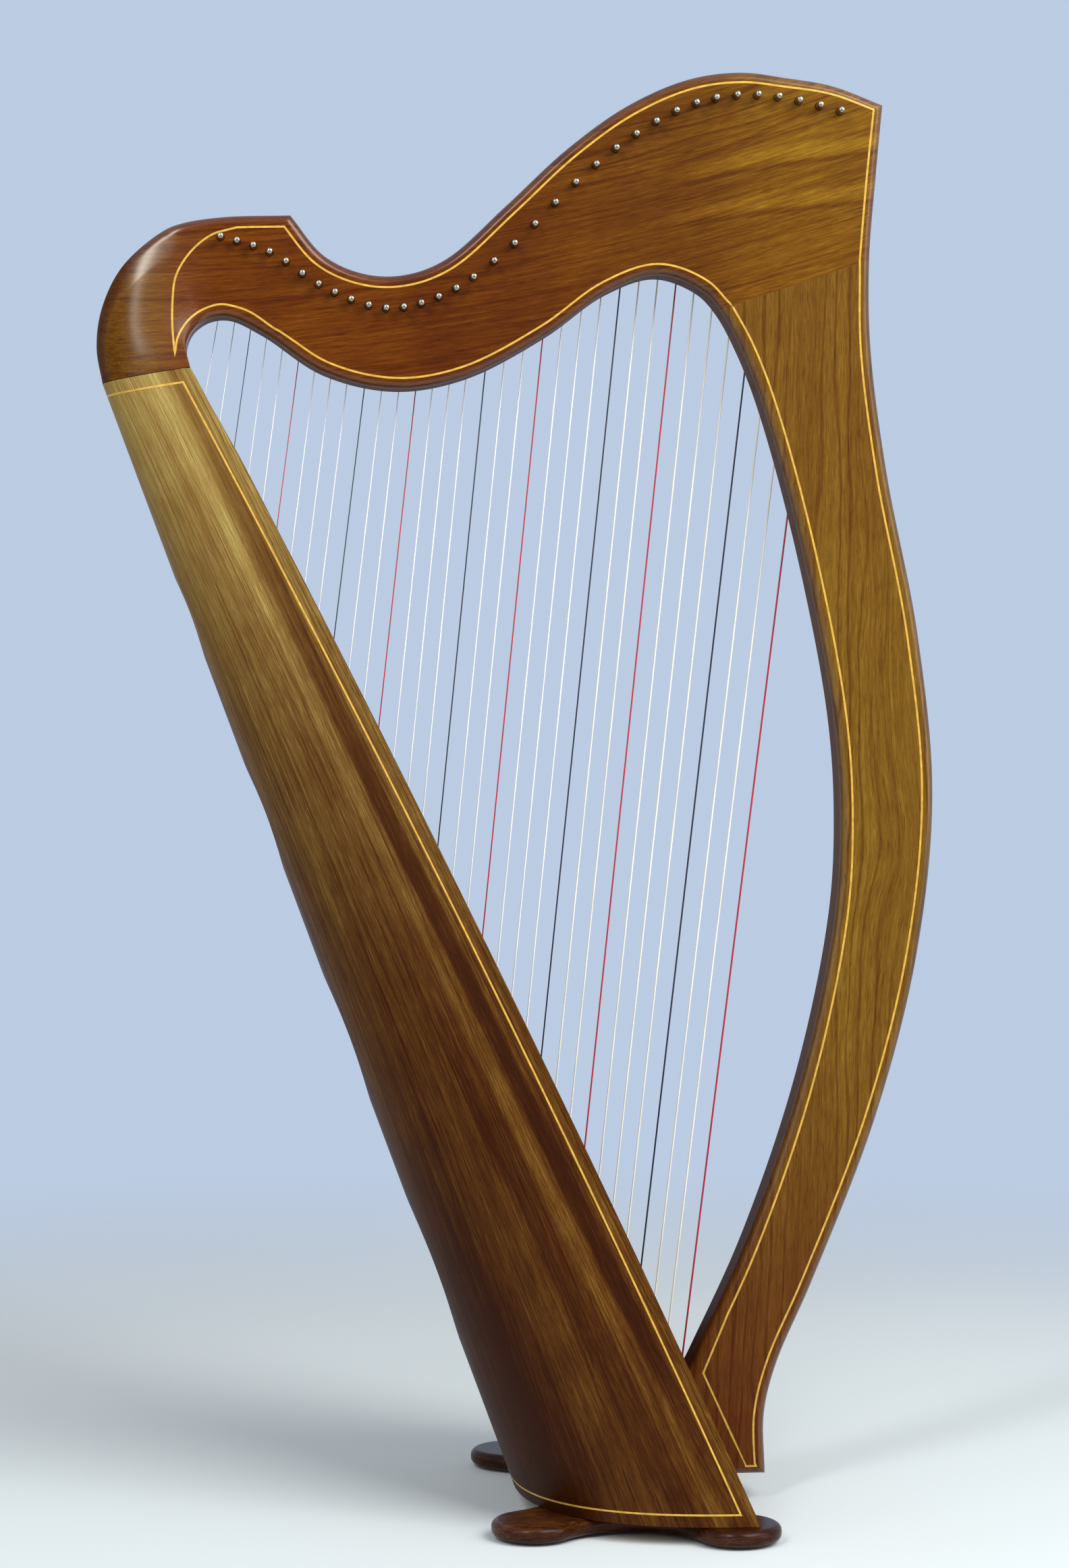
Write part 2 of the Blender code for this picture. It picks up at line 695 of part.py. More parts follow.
def make_pillar_block(finish):
    """The block inside the box's foot that the pillar is bolted to."""
    low = BASE_Z + FLOOR_THICK + GAP
    near = SOUNDBOARD_THICK + GAP
    steps = 4
    heights = [low + (PILLAR_BLOCK_TOP_Z - low) * k / steps for k in range(steps + 1)]
    outline = [Vector((front_x(z, near), z)) for z in heights]
    outline += [Vector((front_x(z, near + PILLAR_BLOCK_DEPTH), z)) for z in reversed(heights)]
    return board("pillar_block", outline, finish, -PILLAR_BLOCK_HALF, PILLAR_BLOCK_HALF, 0)


def fit_bolt(pillar, soundboard, block, steel):
    """A bolt from inside the box through block and sound board into the pillar."""
    along = Vector((math.cos(BOX_LEAN), 0, math.sin(BOX_LEAN)))
    seat = SOUNDBOARD_THICK + GAP + PILLAR_BLOCK_DEPTH + BOLT_HEAD_SEAT
    face = Vector((front_x(BOLT_Z), 0, BOLT_Z))
    start = -seat
    profile = [(start - BOLT_HEAD_LENGTH, BOLT_HEAD_RADIUS), (start, BOLT_HEAD_RADIUS),
               (start, BOLT_RADIUS), (BOLT_INTO_PILLAR, BOLT_RADIUS)]
    bolt = turned("pillar_bolt", profile, 8, steel)
    aim(bolt, face, along)
    cut = [(start - BOLT_HEAD_LENGTH, BOLT_RADIUS + 2 * GAP),
           (BOLT_INTO_PILLAR + GAP, BOLT_RADIUS + 2 * GAP)]
    cutter = turned("pillar_bolt_cutter", cut, 8, guide=True)
    aim(cutter, face, along)
    for thing in (pillar, soundboard, block):
        boolean(thing, cutter, "DIFFERENCE")


def fit_dowels(neck, pillar, finish):
    """Two dowels across the glued joint between neck and pillar."""
    inside = Vector(NECK_INSIDE[-1]) * MM
    outside = Vector(CREST_SIDE[-1]) * MM
    across = (outside - inside).normalized()
    along = Vector((-across.y, 0, across.x))
    for i, share in enumerate(DOWEL_SHARES):
        middle = inside.lerp(outside, share)
        place = Vector((middle.x, 0, middle.y))
        profile = [(-DOWEL_HALF_LENGTH, DOWEL_RADIUS), (DOWEL_HALF_LENGTH, DOWEL_RADIUS)]
        dowel = turned(f"neck_dowel_{i + 1}", profile, 8, finish)
        aim(dowel, place, along)
        cut = [(-DOWEL_HALF_LENGTH - GAP, DOWEL_RADIUS + 2 * GAP),
               (DOWEL_HALF_LENGTH + GAP, DOWEL_RADIUS + 2 * GAP)]
        cutter = turned(f"neck_dowel_cutter_{i + 1}", cut, 8, guide=True)
        aim(cutter, place, along)
        boolean(neck, cutter, "DIFFERENCE")
        boolean(pillar, cutter, "DIFFERENCE")


def neck_outline():
    """The outline, and the points that its two glued sides start from."""
    down = Vector((0, GAP))
    run = smooth(NECK_INSIDE)[:-1] + [Vector(NECK_INSIDE[-1]) * MM + down]
    joint = len(run) - 1
    run += [Vector(CREST_SIDE[-1]) * MM + down]
    run += smooth(CREST_SIDE)[::-1][1:-1]
    run += smooth(NECK_TOP)[::-1][:-1]
    run += smooth(HEAD_TOP)[::-1]
    return run, (joint, len(run) - 1)


def pillar_outline():
    """The outline, and the points that its glued sides start from."""
    inside = smooth(PILLAR_INSIDE)
    outside = smooth(PILLAR_OUTSIDE)
    foot_z = outside[-1].y
    run = inside[:-1]
    top_z = inside[-1].y
    steps = 4
    for k in range(steps + 1):
        z = top_z + (foot_z - top_z) * k / steps
        run.append(Vector((front_x(z, -GAP), z)))
    run += outside[::-1]
    first = len(inside) - 1
    return run, (*range(first, first + steps), len(run) - 1)


def main():
    clear_scene()
    walnut = material("walnut", WALNUT, 0.4)
    dark = material("dark_walnut", DARK_WALNUT, 0.4)
    pale = material("pale_wood", PALE_WOOD, 0.5)
    steel = material("nickel_steel", STEEL, 0.25, 1.0)
    nylon = material("string_nylon", NYLON, 0.3)
    felt = material("felt", FELT, 0.95)

    line = smooth(PIN_LINE, 6)
    outline, glued = neck_outline()
    neck = board("neck", outline, walnut, glued=glued)
    outline, glued = pillar_outline()
    pillar = board("pillar", outline, walnut, glued=glued)
    fit_dowels(neck, pillar, pale)
    drill_neck(neck, line)
    make_shoulder(walnut)
    make_soundbox(walnut)
    soundboard = strip("soundboard", BASE_Z, BOX_TOP_FRONT_Z - SOUNDBOARD_SHORT, 0, SOUNDBOARD_THICK,
                       tapered(BOX_HALF_LOW, BOX_HALF_TOP), pale)
    make_strings(line, nylon)
    strip_top = BOX_TOP_FRONT_Z - STRIP_SHORT
    strip("string_rib", PILLAR_BLOCK_TOP_Z + RIB_PAST_BLOCK, strip_top, SOUNDBOARD_THICK + GAP,
          SOUNDBOARD_THICK + GAP + RIB_THICK, tapered(RIB_HALF_LOW, RIB_HALF_TOP), pale)
    lining_low = BASE_Z + FLOOR_THICK + GAP
    for name, side in (("lining_left", 1), ("lining_right", -1)):
        strip(name, lining_low, strip_top, SOUNDBOARD_THICK + GAP,
              SOUNDBOARD_THICK + GAP + LINING_DEPTH, lining_side(side), pale)
    make_pins(line, steel)
    plate = make_base(dark, felt)
    floor = make_floor(pale)
    fit_screws(plate, floor, steel)
    block = make_pillar_block(pale)
    fit_bolt(pillar, soundboard, block, steel)


if __name__ == "__main__":
    main()
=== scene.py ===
"""Looks of a floor-standing folk harp, made round its packed solids.

Metres, +Z up. The harp's plane is XZ: the sound box leans on the -X side and the pillar
stands on the +X side. -Y is the near side, where the tuning pins are driven, and +Y the
far side, where the strings are wound. The file is laid out as an add-on: each operator
makes one piece or one group of like pieces, and the panel lists them.
"""

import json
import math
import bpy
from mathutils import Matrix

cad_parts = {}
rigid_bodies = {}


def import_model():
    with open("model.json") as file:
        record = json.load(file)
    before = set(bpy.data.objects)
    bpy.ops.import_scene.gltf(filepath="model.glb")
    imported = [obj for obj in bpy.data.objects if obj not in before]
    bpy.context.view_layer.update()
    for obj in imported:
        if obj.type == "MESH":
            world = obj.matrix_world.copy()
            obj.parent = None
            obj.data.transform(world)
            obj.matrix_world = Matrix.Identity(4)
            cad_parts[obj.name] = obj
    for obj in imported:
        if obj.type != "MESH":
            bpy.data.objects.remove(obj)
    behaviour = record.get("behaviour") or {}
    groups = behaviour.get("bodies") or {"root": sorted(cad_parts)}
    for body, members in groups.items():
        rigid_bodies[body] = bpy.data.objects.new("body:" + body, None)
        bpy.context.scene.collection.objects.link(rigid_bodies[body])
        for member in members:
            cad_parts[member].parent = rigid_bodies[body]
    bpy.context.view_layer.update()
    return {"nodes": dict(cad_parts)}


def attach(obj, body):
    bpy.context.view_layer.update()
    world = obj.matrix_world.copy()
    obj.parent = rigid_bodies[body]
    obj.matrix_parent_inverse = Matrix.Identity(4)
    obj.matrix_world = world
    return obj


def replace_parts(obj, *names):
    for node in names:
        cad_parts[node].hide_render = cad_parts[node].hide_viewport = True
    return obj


bl_info = {
    "name": "Folk harp finish",
    "version": (1, 0, 0),
    "blender": (4, 5, 0),
    "location": "3D View > Sidebar > Harp",
    "description": "Oiled walnut, maple lines, coloured strings and wound pins for a folk harp",
    "category": "Object",
}

import bmesh
import bpy
from mathutils import Vector
from mathutils.bvhtree import BVHTree

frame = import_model()

MM = 0.001

# Outlines of the board parts in millimetres, seen from the near side
SHOULDER_BACK = [(-353, 960), (-358, 991), (-353.5, 1024), (-336, 1059), (-302, 1088.5),
                 (-285, 1095.5)]
HEAD_TOP = [(-285, 1095.5), (-250, 1101), (-194, 1103)]
NECK_TOP = [(-194, 1103), (-165.5, 1069), (-131, 1054), (-97, 1053.5), (-62, 1067),
            (-11, 1112.5), (41, 1161), (93, 1198.5), (145, 1221.5), (190, 1228),
            (228, 1224), (269, 1217.4), (312.5, 1201.5)]
SHOULDER_INSIDE = [(-278.5, 972.5), (-282, 991), (-276, 1005), (-262, 1014.5)]
NECK_INSIDE = [(-262, 1014.5), (-245, 1016), (-217, 1003), (-166, 970), (-105, 956.5),
               (-45, 967), (24, 1003), (76, 1040), (119, 1054.5), (155, 1042.5),
               (172, 1025.5)]
PILLAR_INSIDE = [(172, 1025.5), (191, 991), (211, 939), (244, 818), (271, 679), (277, 591),
                 (272.5, 505), (243.5, 365), (196, 225), (144.2, 112.5)]
PILLAR_OUTSIDE = [(301.5, 1069), (303, 992), (317, 888), (344.5, 749), (358, 609),
                  (344, 469), (308, 329), (253.5, 189), (223, 119), (212.5, 76),
                  (213.4, 23.8)]
CREST_SIDE = [(312.5, 1201.5), (306.5, 1136), (301.5, 1069)]
PIN_LINE = [(-270, 1087), (-252, 1083), (-210, 1070), (-168, 1042.5), (-113, 1024),
            (-60, 1038), (-4, 1080), (48, 1132), (99, 1173), (151, 1200),
            (205, 1207.5), (277, 1194), (300, 1187)]
BOARD_HALF = 23.0 * MM
EDGE_ROUND = 8.0 * MM
EDGE_STEPS = 6
CURVE_STEPS = 10

# Pale line: its own points on the head, and how far inside the edges it runs elsewhere
LINE_TIP = [(-291.3, 983.4), (-293.4, 1008), (-293.1, 1032), (-290.9, 1048.5), (-284.4, 1062.2),
            (-273.6, 1075.3), (-259.4, 1085.6), (-244.1, 1090.3)]
LINE_LOW_TIP = [(-208.5, 1007.2), (-228.4, 1020.6), (-242.6, 1025.4), (-253.9, 1026.7),
                (-268.3, 1022), (-280, 1012.9), (-288.6, 998.6), (-291.1, 984.6)]
LINE_FOOT = [(204.6, 31.3), (195.8, 31.3), (158.7, 112.6)]
LINE_IN_HEAD = (10.3, 10.3)
LINE_IN_NECK_TOP = (10.6, 9.7, 9.3, 9.3, 7.4)
LINE_IN_CREST = (8.3, 9.4)
LINE_IN_PILLAR_OUT = (9.4, 10.6, 9.8, 9.5)
LINE_IN_PILLAR_IN = (10.6, 10.4, 10.2)
LINE_IN_NECK_IN = (9.6, 9.3, 9.0, 9.2, 4.0)

# Strings, tuning pins and bridge pins
STRINGS = 34
GUIDE_STRINGS = (0, 8, 15, 21, 27, 33)
PIN_GUIDE = (-252.8, -143.0, -39.3, 64.9, 167.4, 274.3)
FOOT_GUIDE = (10.3, 215.9, 412.4, 586.7, 763.5, 938.5)
FOOT_FROM_TOP = 10.5 * MM
FOOT_SINK = 1.5 * MM
STRING_OUT = 36.0 * MM
STRING_OUT_AT_PIN = 40.0 * MM
RED_STRINGS = (6, 13, 20, 27, 34)
DARK_STRINGS = (3, 10, 17, 24, 31)
FIRST_WHITE_STRING = 25
PIN_RADIUS = 3.2 * MM
PIN_CLEARANCE = 0.3 * MM
PIN_NEAR_END = -37.0 * MM
PIN_FAR_END = 47.0 * MM
SQUARE_LENGTH = 10.0 * MM
SQUARE_HALF = 2.4 * MM
BRIDGE_RADIUS = 2.0 * MM
BRIDGE_LENGTH = 17.0 * MM
BRIDGE_DROPS = (42.0 * MM, 62.0 * MM)
STOP_AHEAD = (1.0 * MM, -0.5 * MM)

# Sound box
BASE_Z = 16.6 * MM
BOX_LEAN = math.radians(25.93)
BOX_FRONT_LOW_X = 184.8 * MM
BOX_FRONT_LOW_Z = 20.0 * MM
BOX_TOP_FRONT_Z = 972.5 * MM
BOX_BACK_LOW_X = -4.2 * MM
BOX_BACK_TOP = (-353.0 * MM, 960.2 * MM)
SEAM_SLOPE = 0.165
SEAM_BEVEL = 0.9
FLAT_LATE = 2.2
BOX_HALF_LOW = 185.0 * MM
BOX_HALF_TOP = 38.0 * MM
BOX_BOW = 9.0 * MM
BOX_WALL = 5.0 * MM
SQUARENESS = 2.5
SOUNDBOARD_THICK = 4.0 * MM
GAP = 0.3 * MM
HOLE_SHARES = (0.2, 0.41, 0.61, 0.79)
HOLE_HALF_WIDTHS = (44.0 * MM, 37.0 * MM, 29.0 * MM, 20.0 * MM)
HOLE_HALF_HEIGHTS = (64.0 * MM, 56.0 * MM, 46.0 * MM, 36.0 * MM)
BAND_THICK = 2.5 * MM
BAND_HALF_LOW = 9.0 * MM
BAND_HALF_TOP = 5.0 * MM
BAND_PAST_STRING = 2.0 * MM
STRIP_SHORT = 10.5 * MM
SOUNDBOARD_SHORT = 0.8 * MM

# Base
PLATE_LOW = 2.3 * MM
PLATE_THICK = 14.0 * MM
PLATE_ROUND = 6.0 * MM
LOBE_RADIUS = 36.0 * MM
REAR_LOBE = (4.0 * MM, 138.0 * MM)
FRONT_LOBE = (170.0 * MM, 165.0 * MM)
WAIST_DEPTHS = (12.0 * MM, 55.0 * MM, 12.0 * MM, 45.0 * MM)
SCREW_PLACES = ((50.0 * MM, 70.0 * MM), (140.0 * MM, 100.0 * MM))

# Golden bands in the neck's wood: height at x 0 in metres, and slope
GOLDEN_BANDS = ((1.117, 0.181), (1.088, 0.138))

# Camera: where it stands, which way it looks, and its lens for a 36 mm sensor
CAMERA_PLACE = Vector((-0.2324, -3.1403, 0.722))
CAMERA_TURN = math.radians(4.5)
CAMERA_DIP = math.radians(1.856)
CAMERA_LENS = 84.13


# Curves and outlines

def smooth(points, steps=CURVE_STEPS):
    """A centripetal Catmull-Rom curve through the points, in metres."""
    head = 2 * Vector(points[0]) - Vector(points[1])
    tail = 2 * Vector(points[-1]) - Vector(points[-2])
    run = [head] + [Vector(p) for p in points] + [tail]
    curve = []
    for i in range(1, len(run) - 2):
        a, b, c, d = run[i - 1:i + 3]
        t1 = math.sqrt((b - a).length)
        t2 = t1 + math.sqrt((c - b).length)
        t3 = t2 + math.sqrt((d - c).length)
        for k in range(steps):
            t = t1 + (t2 - t1) * k / steps
            ab = a * ((t1 - t) / t1) + b * (t / t1)
            bc = b * ((t2 - t) / (t2 - t1)) + c * ((t - t1) / (t2 - t1))
            cd = c * ((t3 - t) / (t3 - t2)) + d * ((t - t2) / (t3 - t2))
            abc = ab * ((t2 - t) / t2) + bc * (t / t2)
            bcd = bc * ((t3 - t) / (t3 - t1)) + cd * ((t - t1) / (t3 - t1))
            curve.append((abc * ((t2 - t) / (t2 - t1)) + bcd * ((t - t1) / (t2 - t1))) * MM)
    curve.append(run[-2] * MM)
    return curve


def smooth_parts(*runs, steps=CURVE_STEPS):
    """Runs that meet end to end as one smooth curve, parted again where they meet."""
    points = list(runs[0])
    for run in runs[1:]:
        points += run[1:]
    whole = smooth(points, steps)
    parts = []
    start = 0
    for run in runs:
        end = start + (len(run) - 1) * steps
        parts.append(whole[start:end + 1])
        start = end
    return parts


def metres(points):
    return [Vector(p) * MM for p in points]


def height_at(curve, x):
    for a, b in zip(curve, curve[1:]):
        if a.x <= x <= b.x:
            return a.y + (b.y - a.y) * (x - a.x) / (b.x - a.x)
    raise ValueError("x lies off the curve")


def along_values(values, share):
    """The value at a share of the way along evenly spread values."""
    place = share * (len(values) - 1)
    k = min(int(place), len(values) - 2)
    return values[k] + (values[k + 1] - values[k]) * (place - k)


def sample(curve, share):
    place = share * (len(curve) - 1)
    k = min(int(place), len(curve) - 2)
    return curve[k].lerp(curve[k + 1], place - k)


def left_of(way):
    return Vector((-way.y, way.x))


def beside(curve, distances, side):
    """The curve moved to its left (side 1) or right (-1) by distances in millimetres."""
    moved = []
    last = len(curve) - 1
    for i, point in enumerate(curve):
        way = (curve[min(i + 1, last)] - curve[max(i - 1, 0)]).normalized()
        moved.append(point + left_of(way) * side * along_values(distances, i / last) * MM)
    return moved


def crossing(a, b, c, d):
    """Where the line through a and b crosses the one through c and d."""
    first, second = b - a, d - c
    det = first.x * second.y - first.y * second.x
    if abs(det) < 1e-12:
        return None
    gap = c - a
    share = (gap.x * second.y - gap.y * second.x) / det
    other = (gap.x * first.y - gap.y * first.x) / det
    return share, other, a + first * share


def joined(first, second, reach=24):
    """Two runs trimmed to where they cross, or led on to the corner between them."""
    for i in range(len(first) - 2, max(len(first) - reach, -1), -1):
        for k in range(min(reach, len(second) - 1)):
            met = crossing(first[i], first[i + 1], second[k], second[k + 1])
            if met and 0 <= met[0] <= 1 and 0 <= met[1] <= 1:
                return first[:i + 1] + [met[2]] + second[k + 1:]
    if (first[-1] - second[0]).length < 2 * MM:
        return first[:-1] + second
    met = crossing(first[-2], first[-1], second[0], second[1])
    if met and 0 < met[0] < 40 and met[1] < 1:
        return first + [met[2]] + second
    return first + second


def moved_in(outline, amounts):
    """An anticlockwise outline with each side moved in by its own amount.

    Where a corner is sharp, the short sides beside it close up on the corner's new place.
    """
    count = len(outline)
    ring = []
    corners = []
    for i, point in enumerate(outline):
        before = (point - outline[i - 1]).normalized()
        after = (outline[(i + 1) % count] - point).normalized()
        a, b = amounts[i - 1], amounts[i]
        n0, n1 = left_of(before), left_of(after)
        turn = before.cross(after)
        if turn > 0.3:
            corners.append(i)
        if a != b and abs(turn) > 0.1:
            ring.append(point + Vector(((a * n1.y - b * n0.y) / turn,
                                        (b * n0.x - a * n1.x) / turn)))
            continue
        middle = n0 + n1
        slack = max(middle.length / 2, 0.35)
        ring.append(point + middle.normalized() * (a + b) / 2 / slack)
    for corner in corners:
        for step in (1, -1):
            i = corner
            for _ in range(12):
                j = (i + step) % count
                if (ring[j] - ring[corner]).dot(outline[j] - outline[i]) >= 0:
                    break
                ring[j] = ring[corner].copy()
                i = j
    return ring


# Meshes

def new_object(name, mesh):
    thing = bpy.data.objects.new(name, mesh)
    bpy.context.scene.collection.objects.link(thing)
    return thing


def closed_mesh(shape, name):
    bmesh.ops.remove_doubles(shape, verts=shape.verts, dist=1e-6)
    bmesh.ops.recalc_face_normals(shape, faces=shape.faces)
    mesh = bpy.data.meshes.new(name)
    shape.to_mesh(mesh)
    shape.free()
    return mesh


def settle(thing):
    """Turns an object's modifiers into its plain mesh."""
    graph = bpy.context.evaluated_depsgraph_get()
    made = bpy.data.meshes.new_from_object(thing.evaluated_get(graph), depsgraph=graph)
    thing.modifiers.clear()
    old = thing.data
    thing.data = made
    made.name = thing.name
    if old.users == 0:
        bpy.data.meshes.remove(old)
    return thing


def shade(thing, angle=35.0):
    """Smooth shading in which wide flat faces stay flat, with sharp edges kept."""
    thing.data.shade_smooth()
    thing.data.set_sharp_from_angle(angle=math.radians(angle))
    weighted = thing.modifiers.new("flat_faces_lead", "WEIGHTED_NORMAL")
    weighted.keep_sharp = True
    return settle(thing)


def skin(shape, rings, capped=True):
    """Faces between equal rings of points, with a cap on each end."""
    made = [[shape.verts.new(p) for p in ring] for ring in rings]
    for first, second in zip(made, made[1:]):
        for k in range(len(first)):
            m = (k + 1) % len(first)
            shape.faces.new((first[k], first[m], second[m], second[k]))
    if capped:
        shape.faces.new(made[0])
        shape.faces.new(made[-1])


def ring_faces(shape, rings):
    """Faces between rings in which neighbouring points may coincide, and two end caps."""
    found = {}

    def corner(point):
        key = tuple(round(v * 1e7) for v in point)
        if key not in found:
            found[key] = shape.verts.new(point)
        return found[key]

    def face(points):
        corners = []
        for vert in points:
            if vert not in corners:
                corners.append(vert)
        if len(corners) > 2 and shape.faces.get(corners) is None:
            shape.faces.new(corners)

    made = [[corner(p) for p in ring] for ring in rings]
    for first, second in zip(made, made[1:]):
        for k in range(len(first)):
            m = (k + 1) % len(first)
            face((first[k], first[m], second[m], second[k]))
    face(made[0])
    face(made[-1])


def rounded_board(name, outline, glued, half, rounding, lift):
    """A board with rounded long edges, save where a side is glued to its neighbour.

    `lift` places a point of the outline at a height from -half to half.
    """
    levels = []
    for k in range(EDGE_STEPS + 1):
        turn = math.pi / 2 * k / EDGE_STEPS
        levels.append((rounding * (1 - math.cos(turn)), half - rounding * (1 - math.sin(turn))))
    rings = []
    for inset, height in levels[::-1]:
        amounts = [0.0 if i in glued else inset for i in range(len(outline))]
        rings.append([lift(p, -height) for p in moved_in(outline, amounts)])
    for inset, height in levels:
        amounts = [0.0 if i in glued else inset for i in range(len(outline))]
        rings.append([lift(p, height) for p in moved_in(outline, amounts)])
    shape = bmesh.new()
    ring_faces(shape, rings)
    return new_object(name, closed_mesh(shape, name))


def upright(point, height):
    return Vector((point.x, height, point.y))


def turned(shape, profile, sides, place, direction):
    """Adds a solid turned about a line, from (distance along it, radius) pairs."""
    turn = direction.to_track_quat("Z", "Y")
    rings = []
    for along, radius in profile:
        ring = []
        for k in range(sides):
            angle = 2 * math.pi * (k + 0.5) / sides
            spot = Vector((radius * math.cos(angle), radius * math.sin(angle), along))
            ring.append(place + turn @ spot)
        rings.append(ring)
    skin(shape, rings)


def cut_with(thing, cutters):
    """Takes the cutters' shape out of a piece."""
    tool = new_object(thing.name + "_cutters", closed_mesh(cutters, "cutters"))
    cut = thing.modifiers.new("cut", "BOOLEAN")
    cut.operation = "DIFFERENCE"
    cut.object = tool
    settle(thing)
    bpy.data.objects.remove(tool)
    return thing


def surface_of(*things):
    """A tree for finding the nearest place on finished pieces."""
    points = []
    faces = []
    for thing in things:
        start = len(points)
        points += [v.co.copy() for v in thing.data.vertices]
        faces += [[start + i for i in face.vertices] for face in thing.data.polygons]
    return BVHTree.FromPolygons(points, faces)


def ribbon(shape, lefts, rights, normals, proud, sunk):
    """A closed flat strip let into a surface, standing just proud of it."""
    count = len(lefts)
    rows = []
    for left, right, normal in zip(lefts, rights, normals):
        rows.append([shape.verts.new(left + normal * proud),
                     shape.verts.new(right + normal * proud),
                     shape.verts.new(right - normal * sunk),
                     shape.verts.new(left - normal * sunk)])
    for i in range(count):
        first, second = rows[i], rows[(i + 1) % count]
        for k in range(4):
            m = (k + 1) % 4
            shape.faces.new((first[k], first[m], second[m], second[k]))


# The sound box's form

def rise(z):
    return (z - BASE_Z) / (BOX_TOP_FRONT_Z - BASE_Z)


def front_x(z, behind=0.0):
    """X of the sound board's bowed front face at z, or of a layer behind it."""
    t = min(max(rise(z), 0.0), 1.0)
    bow = BOX_BOW * 4 * t * (1 - t)
    straight = BOX_FRONT_LOW_X - (z - BOX_FRONT_LOW_Z) * math.tan(BOX_LEAN)
    return straight + (bow - behind) / math.cos(BOX_LEAN)


def box_half(t):
    return BOX_HALF_LOW + (BOX_HALF_TOP - BOX_HALF_LOW) * t


def box_ends(t, behind):
    """The section's front and back points at a share of the height."""
    front_z = BASE_Z + (BOX_TOP_FRONT_Z - BASE_Z) * t
    front_z -= SEAM_SLOPE * t * behind / math.cos(BOX_LEAN)
    back_z = BASE_Z + (BOX_BACK_TOP[1] - BASE_Z) * t
    back_x = BOX_BACK_LOW_X + (BOX_BACK_TOP[0] - BOX_BACK_LOW_X) * t
    return Vector((front_x(front_z, behind), front_z)), Vector((back_x, back_z))


def on_shell(t, turn, inset=0.0):
    """A point of the shell at a share of its height, turn 0 at the far front edge to pi."""
    front, back = box_ends(t, SOUNDBOARD_THICK + GAP)
    along = (back - front).normalized()
    depth = (back - front).length - inset
    u = abs(math.sin(turn)) ** (2 / SQUARENESS)
    v = abs(math.cos(turn)) ** (2 / SQUARENESS)
    if turn > math.pi / 2:
        v = -v
    place = front + along * depth * u
    return Vector((place.x, (box_half(t) - inset) * v, place.y))


def front_turn(t, distance):
    """The turn at which the shell's side lies a distance behind its front edge."""
    front, back = box_ends(t, SOUNDBOARD_THICK + GAP)
    return math.asin((distance / (back - front).length) ** (SQUARENESS / 2))


# The neck's and pillar's outlines

def inner_edges(steps=CURVE_STEPS):
    """The inner edges of shoulder, neck and pillar."""
    return smooth_parts(SHOULDER_INSIDE, NECK_INSIDE, PILLAR_INSIDE, steps=steps)


def back_edges(steps=CURVE_STEPS):
    """The outer edges of shoulder and head."""
    return smooth_parts(SHOULDER_BACK, HEAD_TOP, steps=steps)


def right_edges():
    """The outer edges of crest and pillar."""
    return smooth_parts(CREST_SIDE, PILLAR_OUTSIDE)


def neck_outline():
    run = inner_edges()[1]
    joint = len(run) - 1
    run += right_edges()[0][::-1][:-1]
    run += smooth(NECK_TOP)[::-1][:-1]
    run += back_edges()[1][::-1]
    return run, (joint, len(run) - 1)


def pillar_outline():
    inside = inner_edges()[2]
    outside = right_edges()[1]
    run = inside[:-1]
    top_z, foot_z = inside[-1].y, outside[-1].y
    steps = 4
    for k in range(steps + 1):
        z = top_z + (foot_z - top_z) * k / steps
        run.append(Vector((front_x(z, -GAP), z)))
    run += outside[::-1]
    first = len(inside) - 1
    return run, (*range(first, first + steps), len(run) - 1)


def shoulder_half(depth, half, ease, flat_share):
    """Half a section as (depth, half-width) pairs, from the strings' side to the back.

    It is the sound box's D at flat share 0 and the neck's rounded board at 1.
    """
    corner = max(EDGE_ROUND * ease, 0.8 * MM)
    back_steps = 36
    points = []
    for k in range(EDGE_STEPS + 1):
        turn = math.pi / 2 * (1 - k / EDGE_STEPS)
        points.append((corner * (1 - math.sin(turn)) if k else 0.0,
                       half - corner * (1 - math.cos(turn))))
    for k in range(1, back_steps + 1):
        turn = math.pi / 2 * k / back_steps
        round_u = corner + (depth - corner) * math.sin(turn) ** (2 / SQUARENESS)
        round_v = half * max(math.cos(turn), 0.0) ** (2 / SQUARENESS)
        flat = k / (back_steps - EDGE_STEPS - 1)
        if flat <= 1:
            board_u, board_v = corner + (depth - EDGE_ROUND - corner) * flat, half
        elif k < back_steps:
            turn = math.pi / 2 * (k - back_steps + EDGE_STEPS + 1) / EDGE_STEPS
            board_u = depth - EDGE_ROUND * (1 - math.sin(turn))
            board_v = half - EDGE_ROUND * (1 - math.cos(turn))
        else:
            board_u, board_v = depth, 0.0
        points.append((round_u + (board_u - round_u) * flat_share,
                       round_v + (board_v - round_v) * flat_share))
    return points


# Where the strings run

def string_share(index):
    return index / (STRINGS - 1)


def along_guide(guide, index):
    for k, last in enumerate(GUIDE_STRINGS[1:]):
        if index <= last:
            share = (index - GUIDE_STRINGS[k]) / (last - GUIDE_STRINGS[k])
            return (guide[k] + (guide[k + 1] - guide[k]) * share) * MM
    raise ValueError("string lies off the guide")


def pin_places():
    line = smooth(PIN_LINE, 6)
    places = []
    for index in range(STRINGS):
        x = along_guide(PIN_GUIDE, index)
        places.append(Vector((x, 0, height_at(line, x))))
    return places


def string_radius(index):
    looks = bpy.context.scene.harp_strings
    return looks.treble_radius + (looks.bass_radius - looks.treble_radius) * string_share(index)


